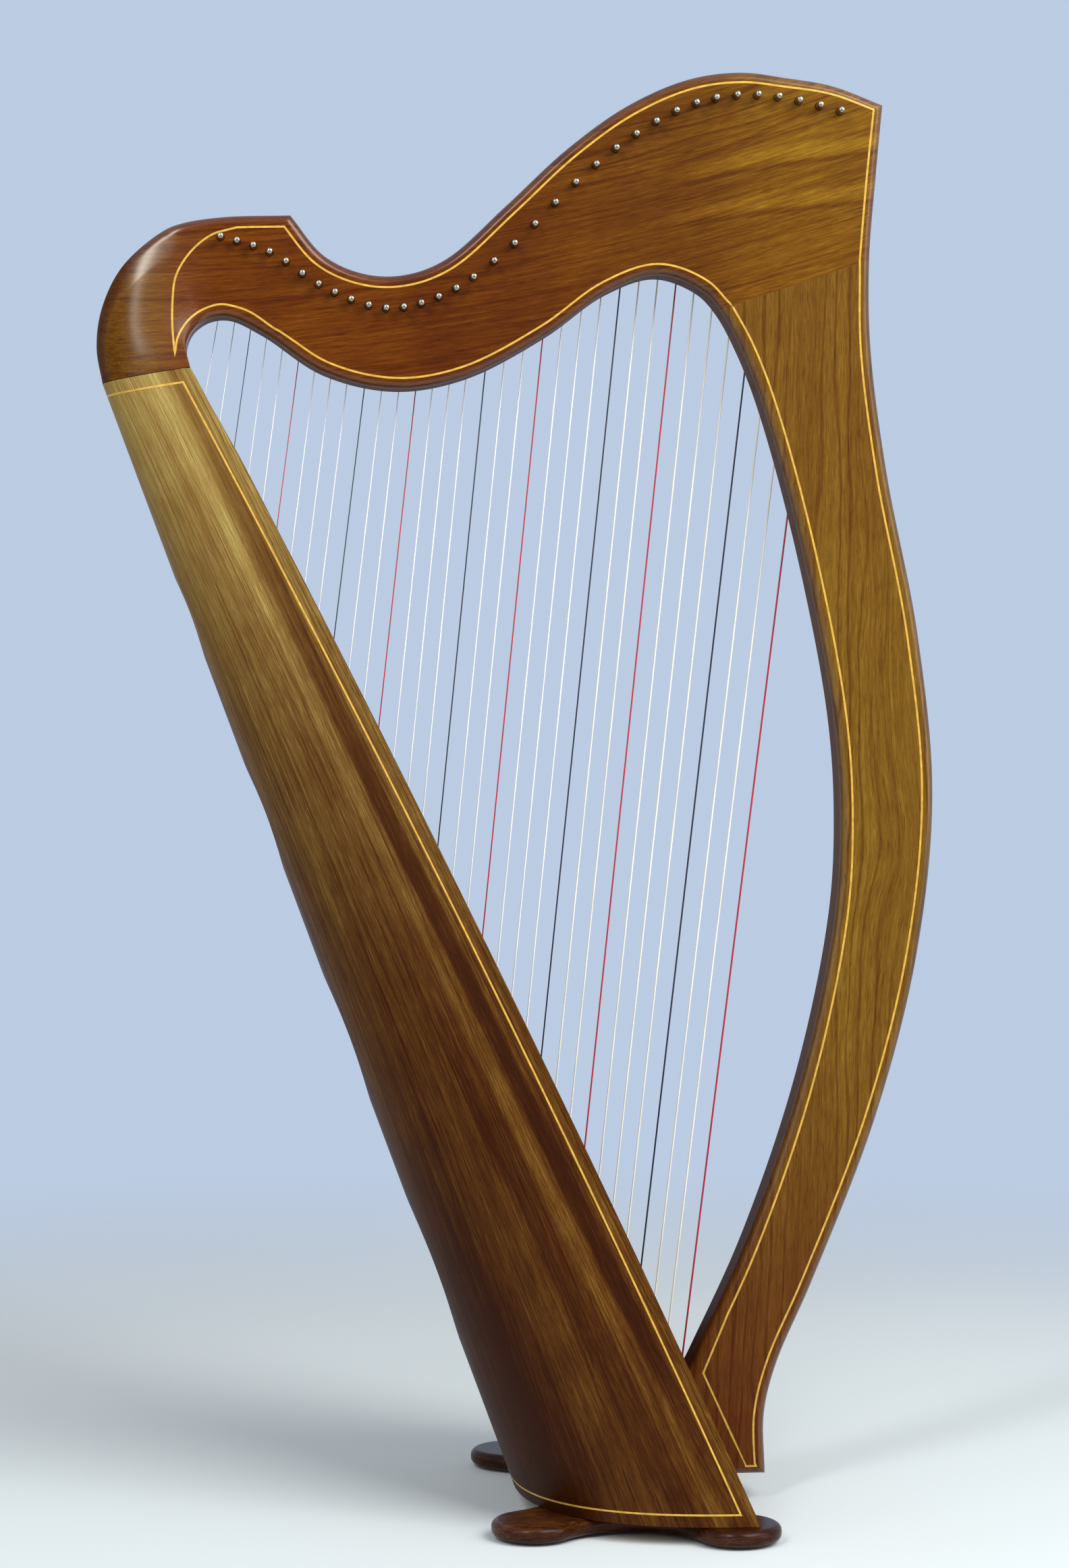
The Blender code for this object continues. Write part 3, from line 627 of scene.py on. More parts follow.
def string_route(index, pin):
    """Foot, bridge pin and tuning pin points of a string's centre line."""
    share = string_share(index)
    z = BOX_TOP_FRONT_Z - FOOT_FROM_TOP - along_guide(FOOT_GUIDE, index) * math.cos(BOX_LEAN)
    foot = Vector((front_x(z, -FOOT_SINK), 0, z))
    drop = along_values(BRIDGE_DROPS, share)
    stop = Vector((pin.x + along_values(STOP_AHEAD, share), STRING_OUT, pin.z - drop))
    top = pin + Vector((PIN_RADIUS + PIN_CLEARANCE + string_radius(index), STRING_OUT_AT_PIN, 0))
    return foot, stop, top


# Node trees

class Nodes:
    """Adds nodes to a tree, their settings first and then their sockets."""

    def __init__(self, tree):
        self.tree = tree
        tree.nodes.clear()

    def add(self, kind, settings=None, sockets=None, out=0):
        node = self.tree.nodes.new(kind)
        for name, value in (settings or {}).items():
            if name == "stops":
                self.set_stops(node.color_ramp, value)
            else:
                setattr(node, name, value)
        for name, value in (sockets or {}).items():
            socket = node.inputs[name]
            if isinstance(value, Value):
                self.tree.links.new(value.socket, socket)
            else:
                socket.default_value = value
        if not node.outputs:
            return node
        return Value(self, node.outputs[out])

    @staticmethod
    def set_stops(ramp, stops):
        while len(ramp.elements) < len(stops):
            ramp.elements.new(0.5)
        for element, (place, colour) in zip(ramp.elements, stops):
            element.position = place
            element.color = (*colour, 1.0)

    def split(self, vector):
        first = self.add("ShaderNodeSeparateXYZ", None, {0: vector})
        node = first.socket.node
        return [Value(self, node.outputs[k]) for k in range(3)]

    def vector(self, x, y, z):
        return self.add("ShaderNodeCombineXYZ", None, {0: x, 1: y, 2: z})

    def noise(self, vector, detail=2.0, roughness=0.5):
        sockets = {"Vector": vector, "Scale": 1.0, "Detail": detail, "Roughness": roughness}
        return self.add("ShaderNodeTexNoise", None, sockets)

    def mix(self, share, first, second, how="MIX"):
        """A mix of two colours."""
        return self.add("ShaderNodeMix", {"data_type": "RGBA", "blend_type": how},
                        {0: share, 6: first, 7: second}, out=2)

    def ramp(self, value, stops):
        return self.add("ShaderNodeValToRGB", {"stops": stops}, {0: value})


class Value:
    """A socket, so that sums over a surface are written as sums."""

    def __init__(self, nodes, socket):
        self.nodes = nodes
        self.socket = socket

    def math(self, operation, *others, clamp=False):
        sockets = {k: value for k, value in enumerate(others)}
        return self.nodes.add("ShaderNodeMath", {"operation": operation, "use_clamp": clamp},
                              sockets)

    def __add__(self, other):
        return self.math("ADD", self, other)

    __radd__ = __add__

    def __sub__(self, other):
        return self.math("SUBTRACT", self, other)

    def __rsub__(self, other):
        return self.math("SUBTRACT", other, self)

    def __mul__(self, other):
        return self.math("MULTIPLY", self, other)

    __rmul__ = __mul__

    def __truediv__(self, other):
        return self.math("DIVIDE", self, other)

    def __rtruediv__(self, other):
        return self.math("DIVIDE", other, self)

    def __pow__(self, other):
        return self.math("POWER", self, other)

    def absolute(self):
        return self.math("ABSOLUTE", self)

    def clamped(self):
        return self.math("ADD", self, 0.0, clamp=True)

    def step(self, low, high):
        """0 below low and 1 above high, with a soft change between."""
        return self.nodes.add("ShaderNodeMapRange", {"interpolation_type": "SMOOTHSTEP"},
                              {0: self, 1: low, 2: high, 3: 0.0, 4: 1.0})


class Finish(Nodes):
    """A material under way, with its constants set on the shader itself."""

    def __init__(self, name, **constants):
        self.material = bpy.data.materials.new(name)
        self.material.use_nodes = True
        super().__init__(self.material.node_tree)
        self.shader = self.tree.nodes.new("ShaderNodeBsdfPrincipled")
        output = self.tree.nodes.new("ShaderNodeOutputMaterial")
        self.tree.links.new(self.shader.outputs[0], output.inputs[0])
        for socket, value in constants.items():
            self.shader.inputs[socket.replace("_", " ")].default_value = value

    def place(self):
        """X, Y and Z of the surface, in metres."""
        return self.split(self.add("ShaderNodeTexCoord", None, None, out=3))

    def feed(self, **sockets):
        for name, value in sockets.items():
            self.tree.links.new(value.socket, self.shader.inputs[name.replace("_", " ")])
        return self.material

    def bump(self, height, distance, strength=1.0):
        return self.add("ShaderNodeBump", None,
                        {"Strength": strength, "Distance": distance, "Height": height})


def shape_tree(name, inputs):
    """A Geometry Nodes tree with named inputs. Returns it with its first node's outputs."""
    tree = bpy.data.node_groups.new(name, "GeometryNodeTree")
    tree.interface.new_socket("Geometry", in_out="INPUT", socket_type="NodeSocketGeometry")
    tree.interface.new_socket("Geometry", in_out="OUTPUT", socket_type="NodeSocketGeometry")
    for label, kind in inputs:
        tree.interface.new_socket(label, in_out="INPUT", socket_type="NodeSocket" + kind)
    nodes = Nodes(tree)
    entry = tree.nodes.new("NodeGroupInput")
    given = {socket.name: Value(nodes, socket) for socket in entry.outputs if socket.name}
    return tree, nodes, given


def end_tree(nodes, geometry, material):
    """Realize Instances and Set Material close every tree."""
    real = nodes.add("GeometryNodeRealizeInstances", None, {0: geometry})
    smooth_shaded = nodes.add("GeometryNodeSetShadeSmooth", None, {0: real})
    finished = nodes.add("GeometryNodeSetMaterial", None, {0: smooth_shaded, 2: material})
    leave = nodes.tree.nodes.new("NodeGroupOutput")
    nodes.tree.links.new(finished.socket, leave.inputs[0])


def grown(name, tree, values, mesh=None):
    """A new piece made by a Geometry Nodes tree from its named inputs."""
    thing = new_object(name, mesh or bpy.data.meshes.new(name + "_start"))
    modifier = thing.modifiers.new(tree.name, "NODES")
    modifier.node_group = tree
    for item in tree.interface.items_tree:
        if item.in_out == "INPUT" and item.name in values:
            modifier[item.identifier] = values[item.name]
    return settle(thing)


# Finishes

def board_run(angle, bend=0.0, swirl=None):
    """Grain that runs at an angle in the harp's plane, bent, and pushed aside at a swirl.

    `swirl` is its x, z, half-width, half-height and push, in metres.
    """
    def run(finish, x, y, z):
        c, s = math.cos(angle), math.sin(angle)
        along = x * c + z * s
        across = z * c - x * s
        if bend:
            across = across - along * along * bend
        if swirl:
            mid_x, mid_z, width, height, push = swirl
            reach = ((x - mid_x) / width) ** 2.0 + ((z - mid_z) / height) ** 2.0
            across = across + push / (reach + 1.0)
        return along, across, y
    return run


def behind_front(x, z):
    """Distance behind the sound box's front edge, square to that edge."""
    slope = math.tan(BOX_LEAN)
    return (z * -slope - x + BOX_FRONT_LOW_X + BOX_FRONT_LOW_Z * slope) * math.cos(BOX_LEAN)


def box_run(finish, x, y, z):
    """Grain that runs down the sound box and fans out with it from the front edge."""
    behind = behind_front(x, z)
    risen = (z - BASE_Z) / (BOX_TOP_FRONT_Z - BASE_Z)
    half = risen * (BOX_HALF_TOP - BOX_HALF_LOW) + BOX_HALF_LOW
    girth = behind + (half - y.absolute()) * 0.8
    fan = (1.0 - risen).clamped() ** 1.6 * 0.58 + 0.42
    along = z * math.cos(BOX_LEAN) - x * math.sin(BOX_LEAN)
    return along, girth / fan, y * 0.06


def wood_stops(light, depth):
    """Ramp stops from the darkest streak up to the light tone, which darken towards red."""
    dark = (depth, depth ** 1.5, depth ** 1.9)
    shares = (0.0, 0.2, 0.4, 0.6, 0.8, 1.0)
    return [(share, tuple(v * d ** (1 - share) for v, d in zip(light, dark))) for share in shares]


def wood(name, run, light, other=None, share=None, level=0.0, broad=0.7, streaky=0.8,
         dark_lines=0.16, fine=1.2, line_scale=300.0, quilted=0.35, wave=0.0, rings=0.0, depth=0.22, figure_and_painted_light=None, edge=0.0,
         coat=0.12, polish=None, calm=None, roughness=0.40, pores=0.5):
    """Oiled wood with bands, streaks, dark lines, fine flecks and open pores along its grain.

    `light` is the tone between the dark streaks, and `other` the one that it becomes where
    `share` is 1. The figure function gives what the tone gains from the place on the wood: grain
    figure, and on the neck and the sound box painted light and shade as well. `edge` is the painted
    shade that the tone loses on a board's narrow sides and over most of its rounded edges.
    """
    finish = Finish(name, Specular_IOR_Level=0.05, Coat_Weight=coat, Coat_Roughness=0.24)
    x, y, z = finish.place()
    along, across, deep = run(finish, x, y, z)
    sway = finish.noise(finish.vector(along * 1.7, across * 7.0, deep * 7.0), 1.0)
    across = across + (sway - 0.5) * 0.018
    if wave:
        ripple = finish.noise(finish.vector(along * 15.0, across * 22.0, deep * 22.0), 2.0)
        across = across + (ripple - 0.5) * wave
    bands = finish.noise(finish.vector(along * 0.9, across * 30.0, deep * 14.0), 2.0)
    streaks = finish.noise(finish.vector(along * 3.0, across * 150.0, deep * 60.0), 3.0, 0.6)
    lines = finish.noise(finish.vector(along * 5.0, across * line_scale, deep * 100.0), 2.0, 0.55)
    grain = finish.noise(finish.vector(along * 32.0, across * 520.0, deep * 260.0), 3.0, 0.65)
    flecks = finish.noise(finish.vector(along * 110.0, across * 950.0, deep * 800.0), 2.0, 0.6)
    quilt = finish.noise(finish.vector(along * 24.0, across * 14.0, deep * 14.0), 2.0)
    tone = (bands - 0.5) * broad + (streaks - 0.5) * streaky - lines.step(0.52, 0.62) * dark_lines
    tone = tone + (grain - 0.5) * fine + (flecks - 0.5) * (fine * 0.6)
    tone = tone + (quilt - 0.5) * quilted + (0.62 + level)
    if rings:
        wobble = finish.noise(finish.vector(along * 3.0, across * 22.0, deep * 22.0), 2.0, 0.6)
        count = across * rings + wobble * 3.5
        place = count.math("FRACT", count)
        tone = tone - (place - 0.5).absolute().step(0.16, 0.03) * bands.step(0.40, 0.54) * 0.26
    # The figure function adds grain figure and, on the neck and the sound box, painted light and
    # shade.
    if figure_and_painted_light:
        tone = tone + figure_and_painted_light(along, across, x, z)
    if calm:
        tone = tone + (0.74 - tone) * calm(x, z)
    # Painted shade: the tone darkens over a board's rounded edges and narrow sides.
    if edge:
        tone = tone - y.absolute().step(0.0216, 0.0176) * edge
    tone = tone.clamped()
    colour = finish.ramp(tone, wood_stops(light, depth))
    if other:
        second = finish.ramp(tone, wood_stops(other, depth))
        colour = finish.mix(share(x, z), colour, second)
    dashes = finish.noise(finish.vector(along * 60.0, across * 1250.0, deep * 1250.0), 1.0)
    pits = dashes.step(0.60, 0.70) * pores
    if pores:
        colour = finish.mix(pits, colour, (0.35, 0.25, 0.2, 1.0), "MULTIPLY")
    sheen = (streaks - 0.5) * 0.12 + (grain - 0.5) * 0.14 + roughness
    height = grain * 0.4 + streaks * 0.2 - pits * 0.8
    if edge:
        sheen = sheen + y.absolute().step(0.0175, 0.0150) * 0.25
    if polish:
        finish.feed(Coat_Weight=polish(x, y))
    return finish.feed(Base_Color=colour, Roughness=sheen,
                       Normal=finish.bump(height, 0.00010, 0.6))


def stripe(distance, half, soft):
    """1 within half of a line and 0 past the soft edge beyond it."""
    return distance.absolute().step(half + soft, half)


def polished_edges(y):
    """Coat weight of a board: little on its faces, more where its edges are rubbed."""
    return y.absolute().step(0.0229, 0.0222) * y.absolute().step(0.0155, 0.0180) * 0.85 + 0.10


def walnut_neck():
    looks = bpy.context.scene.harp_woods

    def figure_and_painted_light(along, across, x, z):
        """Two golden bands with a dark line under each, a darker middle, and painted shade on the
        shoulder's rounded back.
        """
        wander = along.math("SINE", along * 31.0) * 0.0012
        # A darker middle, and painted shade over the shoulder's rounded back beyond x -0.30.
        tone = stripe(x + 0.02, 0.02, 0.12) * -0.16 - x.step(-0.30, -0.335) * 0.14
        tone = tone - stripe(x - 0.125, 0.025, 0.055) * 0.18
        for height, slope in GOLDEN_BANDS:
            gap = z - x * slope - height + wander
            right = x.step(0.10, 0.18)
            tone = tone + stripe(gap, 0.002, 0.008) * right * 0.20
            tone = tone - stripe(gap + 0.010, 0.0005, 0.003) * right * 0.20
        return tone

    # Towards the pillar the neck takes its right tone, and more of it towards the top there: the
    # right tone is partly the wood's own, and its gain towards the top is painted sheen. The
    # shoulder's back takes the right tone as well.
    return wood("neck_walnut", board_run(0.13, bend=0.22), looks.neck_left, looks.neck_right,
                lambda x, z: x.step(-0.10, 0.26) * (z.step(1.0, 1.2) * 0.4 + 0.6)
                + x.step(-0.28, -0.325) * 0.9, broad=0.3,
                streaky=0.45, dark_lines=0.14, fine=0.8, quilted=0.3, rings=55.0,
                depth=looks.streak_depth * 1.5, figure_and_painted_light=figure_and_painted_light, edge=0.34,
                polish=lambda x, y: (x.step(-0.25, -0.30) * 0.35 + polished_edges(y))
                * (1.0 - x.step(-0.318, -0.338) * 0.85))


def walnut_pillar():
    looks = bpy.context.scene.harp_woods
    run = board_run(math.pi / 2 - 0.02, swirl=(0.325, 0.565, 0.030, 0.070, 0.022))
    return wood("pillar_walnut", run, looks.pillar_foot, looks.pillar_top,
                lambda x, z: z.step(0.04, 0.50) * (1.0 - z.step(0.74, 0.94) * 0.25), broad=0.3,
                streaky=0.40, dark_lines=0.06, fine=0.65, quilted=0.15, wave=0.004, rings=95.0,
                depth=looks.streak_depth * 1.5, edge=0.42,
                polish=lambda x, y: polished_edges(y))


def walnut_box():
    looks = bpy.context.scene.harp_woods

    def figure_and_painted_light(along, across, x, z):
        """Bands beside the front edge, painted shade on the back at the foot and over the box below
        its top, and painted light on its top.
        """
        behind = behind_front(x, z)
        foot = z.step(0.20, 0.06)
        shift = z.step(0.60, 0.90) * 0.005
        golden = behind.step(0.012, 0.008) * 0.13 + behind.step(0.034, 0.028) * foot * 0.12
        pale = stripe(behind - 0.0325, 0.003, 0.007) * 0.20
        dark = stripe(behind - 0.018 + shift, 0.0045, 0.004) * (0.40 - foot * 0.28)
        second = stripe(behind - 0.053, 0.007, 0.007) * z.step(0.50, 0.30) * 0.22
        # Painted shade: darker on the back at the foot and over the box below its top. Painted light:
        # lighter towards the top.
        shaded = behind.step(0.080, 0.130) * z.step(0.42, 0.15) * 0.40
        shade_lower_down = z.step(0.95, 0.72) * 0.11 + 0.03
        return golden + pale - dark - second - shaded - shade_lower_down + z.step(0.62, 0.96) * 0.10

    # From z 0.35 up the box turns to its top tone, which is partly the wood's own and partly painted
    # light from above.
    return wood("box_walnut", box_run, looks.box_foot, looks.box_top_lit,
                lambda x, z: z.step(0.35, 1.0) * (behind_front(x, z).step(0.004, 0.036) * 0.3 + 0.7),
                broad=0.55, streaky=0.8, dark_lines=0.25,
                fine=1.0, depth=looks.streak_depth, figure_and_painted_light=figure_and_painted_light, coat=0.05, roughness=0.46,
                calm=lambda x, z: z.step(0.55, 0.98) * 0.50)


def maple_line():
    looks = bpy.context.scene.harp_line
    finish = Finish("maple_line", Specular_IOR_Level=0.3, Coat_Weight=0.2, Coat_Roughness=0.2)
    x, y, z = finish.place()
    grain = finish.noise(finish.vector(x * 180.0, y * 180.0, z * 180.0), 2.0)
    light = tuple(looks.colour)
    deep = tuple(v * 0.68 for v in light)
    colour = finish.ramp(grain, [(0.3, deep), (0.7, light)])
    return finish.feed(Base_Color=colour, Roughness=grain * 0.1 + 0.34)


def nickel():
    finish = Finish("nickel_plate", Metallic=1.0)
    x, y, z = finish.place()
    wear = finish.noise(finish.vector(x * 420.0, y * 900.0, z * 420.0), 3.0)
    # Painted reflection: the plate is kept dark and bronze to stand in for the dark surroundings that
    # the pins mirror; the noise varies it like wear.
    colour = finish.ramp(wear, [(0.25, (0.26, 0.23, 0.17)), (0.75, (0.50, 0.47, 0.39))])
    return finish.feed(Base_Color=colour, Roughness=wear * 0.16 + 0.16)


def steel():
    finish = Finish("plain_steel", Metallic=1.0)
    x, y, z = finish.place()
    wear = finish.noise(finish.vector(x * 600.0, y * 600.0, z * 300.0), 3.0)
    colour = finish.ramp(wear, [(0.25, (0.36, 0.35, 0.33)), (0.75, (0.6, 0.59, 0.56))])
    return finish.feed(Base_Color=colour, Roughness=wear * 0.2 + 0.26)


def string_finish(name, colour, spread=0.12, **constants):
    """Drawn nylon: one colour that varies a little along its length."""
    finish = Finish(name, Specular_IOR_Level=0.5, **constants)
    x, y, z = finish.place()
    patches = finish.noise(finish.vector(x * 60.0, y * 60.0, z * 22.0), 2.0)
    low = tuple(v * (1 - spread) for v in colour)
    high = tuple(min(v * (1 + spread), 1.0) for v in colour)
    shade_of = finish.ramp(patches, [(0.3, low), (0.7, high)])
    return finish.feed(Base_Color=shade_of, Roughness=patches * 0.12 + 0.2)


def felt():
    finish = Finish("dark_felt", Sheen_Weight=0.3)
    x, y, z = finish.place()
    fuzz = finish.noise(finish.vector(x * 1500.0, y * 1500.0, z * 1500.0), 3.0)
    colour = finish.ramp(fuzz, [(0.3, (0.012, 0.011, 0.010)), (0.7, (0.035, 0.032, 0.03))])
    return finish.feed(Base_Color=colour, Roughness=fuzz * 0.1 + 0.85,
                       Normal=finish.bump(fuzz, 0.0003, 0.5))


def ride_on_frame(piece):
    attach(piece, "frame")
    return piece


def dress(node, material):
    """Gives a packed solid its finish, in every slot that it has."""
    thing = frame["nodes"][node]
    for slot in thing.material_slots:
        slot.link = "OBJECT"
        slot.material = material


# Settings that a user would change

class HARP_PG_woods(bpy.types.PropertyGroup):
    """Tones of the walnut parts."""

    neck_left: bpy.props.FloatVectorProperty(
        name="Neck, left", description="Light tone of the neck by the shoulder",
        subtype="COLOR", size=3, default=(0.225, 0.074, 0.002), min=0.0, max=1.0)
    neck_right: bpy.props.FloatVectorProperty(
        name="Neck, right", description="Light tone of the neck by the pillar",
        subtype="COLOR", size=3, default=(0.295, 0.172, 0.010), min=0.0, max=1.0)
    pillar_foot: bpy.props.FloatVectorProperty(
        name="Pillar, foot", description="Light tone of the pillar's foot",
        subtype="COLOR", size=3, default=(0.185, 0.064, 0.008), min=0.0, max=1.0)
    pillar_top: bpy.props.FloatVectorProperty(
        name="Pillar, top", description="Light tone of the pillar higher up",
        subtype="COLOR", size=3, default=(0.285, 0.185, 0.024), min=0.0, max=1.0)
    box_foot: bpy.props.FloatVectorProperty(
        name="Box, foot", description="Light tone at the foot of the sound box",
        subtype="COLOR", size=3, default=(0.205, 0.108, 0.020), min=0.0, max=1.0)
    # Paler than the foot partly through painted light from above.
    box_top_lit: bpy.props.FloatVectorProperty(
        name="Box, top", description="Light tone at the top of the sound box",
        subtype="COLOR", size=3, default=(0.560, 0.500, 0.180), min=0.0, max=1.0)
    streak_depth: bpy.props.FloatProperty(
        name="Streak depth", description="How bright the darkest streak is beside the light tone",
        default=0.16, min=0.02, max=1.0)


class HARP_PG_line(bpy.types.PropertyGroup):
    """The pale line let into the walnut."""

    colour: bpy.props.FloatVectorProperty(
        name="Colour", description="Colour of the maple", subtype="COLOR", size=3,
        default=(0.74, 0.45, 0.07), min=0.0, max=1.0)
    width: bpy.props.FloatProperty(
        name="Width", description="Width of the line", default=1.7 * MM, min=0.5 * MM,
        max=5.0 * MM, unit="LENGTH")
    proud: bpy.props.FloatProperty(
        name="Proud", description="How far the line stands above the wood",
        default=0.12 * MM, min=0.02 * MM, max=0.5 * MM, unit="LENGTH")


class HARP_PG_strings(bpy.types.PropertyGroup):
    """Sizes and colours of the strings."""

    treble_radius: bpy.props.FloatProperty(
        name="Treble radius", description="Radius of the shortest string", default=0.35 * MM,
        min=0.2 * MM, max=1.0 * MM, unit="LENGTH")
    bass_radius: bpy.props.FloatProperty(
        name="Bass radius", description="Radius of the longest string", default=0.8 * MM,
        min=0.4 * MM, max=1.5 * MM, unit="LENGTH")
    turns: bpy.props.FloatProperty(
        name="Turns", description="Turns of each string round its pin", default=3.5, min=1.0,
        max=6.0)
    # The clear strings' pale blue is partly the nylon's own tint and partly painted light: the bright
    # backdrop seen through the nylon.
    clear: bpy.props.FloatVectorProperty(
        name="Clear", description="Colour of the plain strings", subtype="COLOR", size=3,
        default=(0.85, 0.92, 1.0), min=0.0, max=1.0)
    white: bpy.props.FloatVectorProperty(
        name="White", description="Colour of the low strings", subtype="COLOR", size=3,
        default=(0.86, 0.86, 0.80), min=0.0, max=1.0)
    red: bpy.props.FloatVectorProperty(
        name="Red", description="Colour of the C strings", subtype="COLOR", size=3,
        default=(0.46, 0.012, 0.028), min=0.0, max=1.0)
    dark: bpy.props.FloatVectorProperty(
        name="Dark", description="Colour of the F strings", subtype="COLOR", size=3,
        default=(0.010, 0.014, 0.022), min=0.0, max=1.0)


class HARP_PG_stage(bpy.types.PropertyGroup):
    """Floor, backdrop and lamps."""

    backdrop: bpy.props.FloatVectorProperty(
        name="Backdrop", description="Colour behind the harp", subtype="COLOR", size=3,
        default=(0.50, 0.60, 0.76), min=0.0, max=1.0)
    floor: bpy.props.FloatVectorProperty(
        name="Floor", description="Colour of the floor", subtype="COLOR", size=3,
        default=(0.78, 0.88, 0.98), min=0.0, max=1.0)
    ambient: bpy.props.FloatProperty(
        name="Ambient", description="Strength of the light from all round", default=0.34,
        min=0.0, max=2.0)
    key_power: bpy.props.FloatProperty(
        name="Key lamp", description="Power of the large lamp at the upper right", default=90.0,
        min=0.0, max=500.0, unit="POWER")
    side_power: bpy.props.FloatProperty(
        name="Side lamp", description="Power of the tall lamp on the right", default=14.0,
        min=0.0, max=500.0, unit="POWER")
    shoulder_power: bpy.props.FloatProperty(
        name="Shoulder lamp", description="Power of the tall lamp at the upper left", default=36.0,
        min=0.0, max=500.0, unit="POWER")
    warmth: bpy.props.FloatVectorProperty(
        name="Warmth", description="Colour of the lamps", subtype="COLOR", size=3,
        default=(1.0, 0.95, 0.84), min=0.0, max=1.0)
    fill_power: bpy.props.FloatProperty(
        name="Fill lamp", description="Power of the soft lamp on the left", default=6.0,
        min=0.0, max=500.0, unit="POWER")


# Operators

class HARP_OT_neck(bpy.types.Operator):
    """Make the neck and the carved shoulder, as one run of walnut"""

    bl_idname = "harp.neck"
    bl_label = "Neck and shoulder"

    def execute(self, context):
        walnut = walnut_neck()
        outline, glued = neck_outline()
        neck = rounded_board("neck_board", outline, glued, BOARD_HALF, EDGE_ROUND, upright)
        bores = bmesh.new()
        reach = BOARD_HALF * 2
        for pin in pin_places():
            turned(bores, [(-reach, PIN_RADIUS + PIN_CLEARANCE), (reach, PIN_RADIUS + PIN_CLEARANCE)],
                   20, pin, Vector((0, 1, 0)))
        cut_with(neck, bores)
        neck.data.materials.clear()
        neck.data.materials.append(walnut)
        shade(neck)
        shoulder = self.carve_shoulder()
        shoulder.data.materials.append(walnut)
        shade(shoulder)
        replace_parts(ride_on_frame(neck), "neck")
        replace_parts(ride_on_frame(shoulder), "shoulder_block")
        return {"FINISHED"}

    @staticmethod
    def carve_shoulder():
        """The block that turns the sound box's round into the neck's end."""
        inside = inner_edges(14)[0]
        outside = back_edges(14)[0]
        stations = 60
        rings = []
        for t in (0.0, SEAM_BEVEL / 150, *(i / stations for i in range(1, stations + 1))):
            a = sample(inside, t)
            b = sample(outside, t)
            bevel = 0.0 if t else SEAM_BEVEL * MM
            if t == 0:
                a = a + Vector((0, GAP))
                b = b + Vector((0, GAP))
            ease = t * t * (3 - 2 * t)
            half = BOX_HALF_TOP + (BOARD_HALF - BOX_HALF_TOP) * ease - bevel
            along = (b - a).normalized()
            ring = []
            for depth, width in shoulder_half((b - a).length - bevel, half, ease, ease ** FLAT_LATE):
                place = a + along * depth
                ring.append(Vector((place.x, width, place.y)))
            ring += [Vector((p.x, -p.y, p.z)) for p in ring[-2::-1]]
            rings.append(ring)
        shape = bmesh.new()
        ring_faces(shape, rings)
        return new_object("shoulder_carving", closed_mesh(shape, "shoulder_carving"))


class HARP_OT_pillar(bpy.types.Operator):
    """Make the bowed pillar"""

    bl_idname = "harp.pillar"
    bl_label = "Pillar"

    def execute(self, context):
        outline, glued = pillar_outline()
        pillar = rounded_board("pillar_board", outline, glued, BOARD_HALF, EDGE_ROUND, upright)
        pillar.data.materials.append(walnut_pillar())
        shade(pillar)
        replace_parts(ride_on_frame(pillar), "pillar")
        return {"FINISHED"}


class HARP_OT_soundbox(bpy.types.Operator):
    """Make the round-backed sound box with its sound board"""

    bl_idname = "harp.soundbox"
    bl_label = "Sound box"

    def execute(self, context):
        walnut = walnut_box()
        shell = self.lay_up_shell()
        shell.data.materials.clear()
        shell.data.materials.append(walnut)
        shade(shell)
        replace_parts(ride_on_frame(shell), "soundbox_shell")
        board = self.strip("sound_board", BASE_Z, BOX_TOP_FRONT_Z - SOUNDBOARD_SHORT, 0.0,
                           SOUNDBOARD_THICK, BOX_HALF_LOW, BOX_HALF_TOP)
        board.data.materials.append(walnut)
        shade(board)
        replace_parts(ride_on_frame(board), "soundboard")
        return {"FINISHED"}

    @staticmethod
    def lay_up_shell():
        stations, arc_steps = 36, 72
        rings = []
        for i in range(stations + 1):
            t = i / stations
            turns = [math.pi * k / arc_steps for k in range(arc_steps + 1)]
            outer = [on_shell(t, turn) for turn in turns]
            inner = [on_shell(t, turn, BOX_WALL) for turn in turns]
            rings.append(outer + inner[::-1])
        shape = bmesh.new()
        made = [[shape.verts.new(p) for p in ring] for ring in rings]
        for first, second in zip(made, made[1:]):
            for k in range(len(first)):
                m = (k + 1) % len(first)
                shape.faces.new((first[k], first[m], second[m], second[k]))
        span = arc_steps + 1
        for ring in (made[0], made[-1]):
            for k in range(span - 1):
                shape.faces.new((ring[k], ring[k + 1], ring[2 * span - 2 - k],
                                 ring[2 * span - 1 - k]))
        shell = new_object("sound_box", closed_mesh(shape, "sound_box"))
        holes = bmesh.new()
        for share, wide, high in zip(HOLE_SHARES, HOLE_HALF_WIDTHS, HOLE_HALF_HEIGHTS):
            front, back = box_ends(share, SOUNDBOARD_THICK + GAP)
            inward = (front - back).normalized()
            inward = Vector((inward.x, 0, inward.y))
            up = Vector((-inward.z, 0, inward.x))
            middle = Vector((back.x, 0, back.y))
            rings = []
            for reach in (-0.04, 0.04):
                ring = []
                for k in range(64):
                    angle = 2 * math.pi * k / 64
                    ring.append(middle + inward * reach + up * (high * math.cos(angle))
                                + Vector((0, wide * math.sin(angle), 0)))
                rings.append(ring)
            skin(holes, rings)
        return cut_with(shell, holes)

    @staticmethod
    def strip(name, low, high, ahead, behind, half_low, half_high, thinned=0.0):
        """A strip that follows the bowed front, thinned out over a length at its top."""
        stations = 40
        rings = []
        for i in range(stations + 1):
            z = low + (high - low) * i / stations
            half = half_low + (half_high - half_low) * rise(z)
            full = min((high - z) / thinned, 1.0) if thinned else 1.0
            face = behind + (ahead - behind) * max(full, 0.06)
            rings.append([Vector((front_x(z, depth), y, z)) for y, depth in
                          ((half, face), (-half, face), (-half, behind), (half, behind))])
        shape = bmesh.new()
        skin(shape, rings)
        return new_object(name, closed_mesh(shape, name))


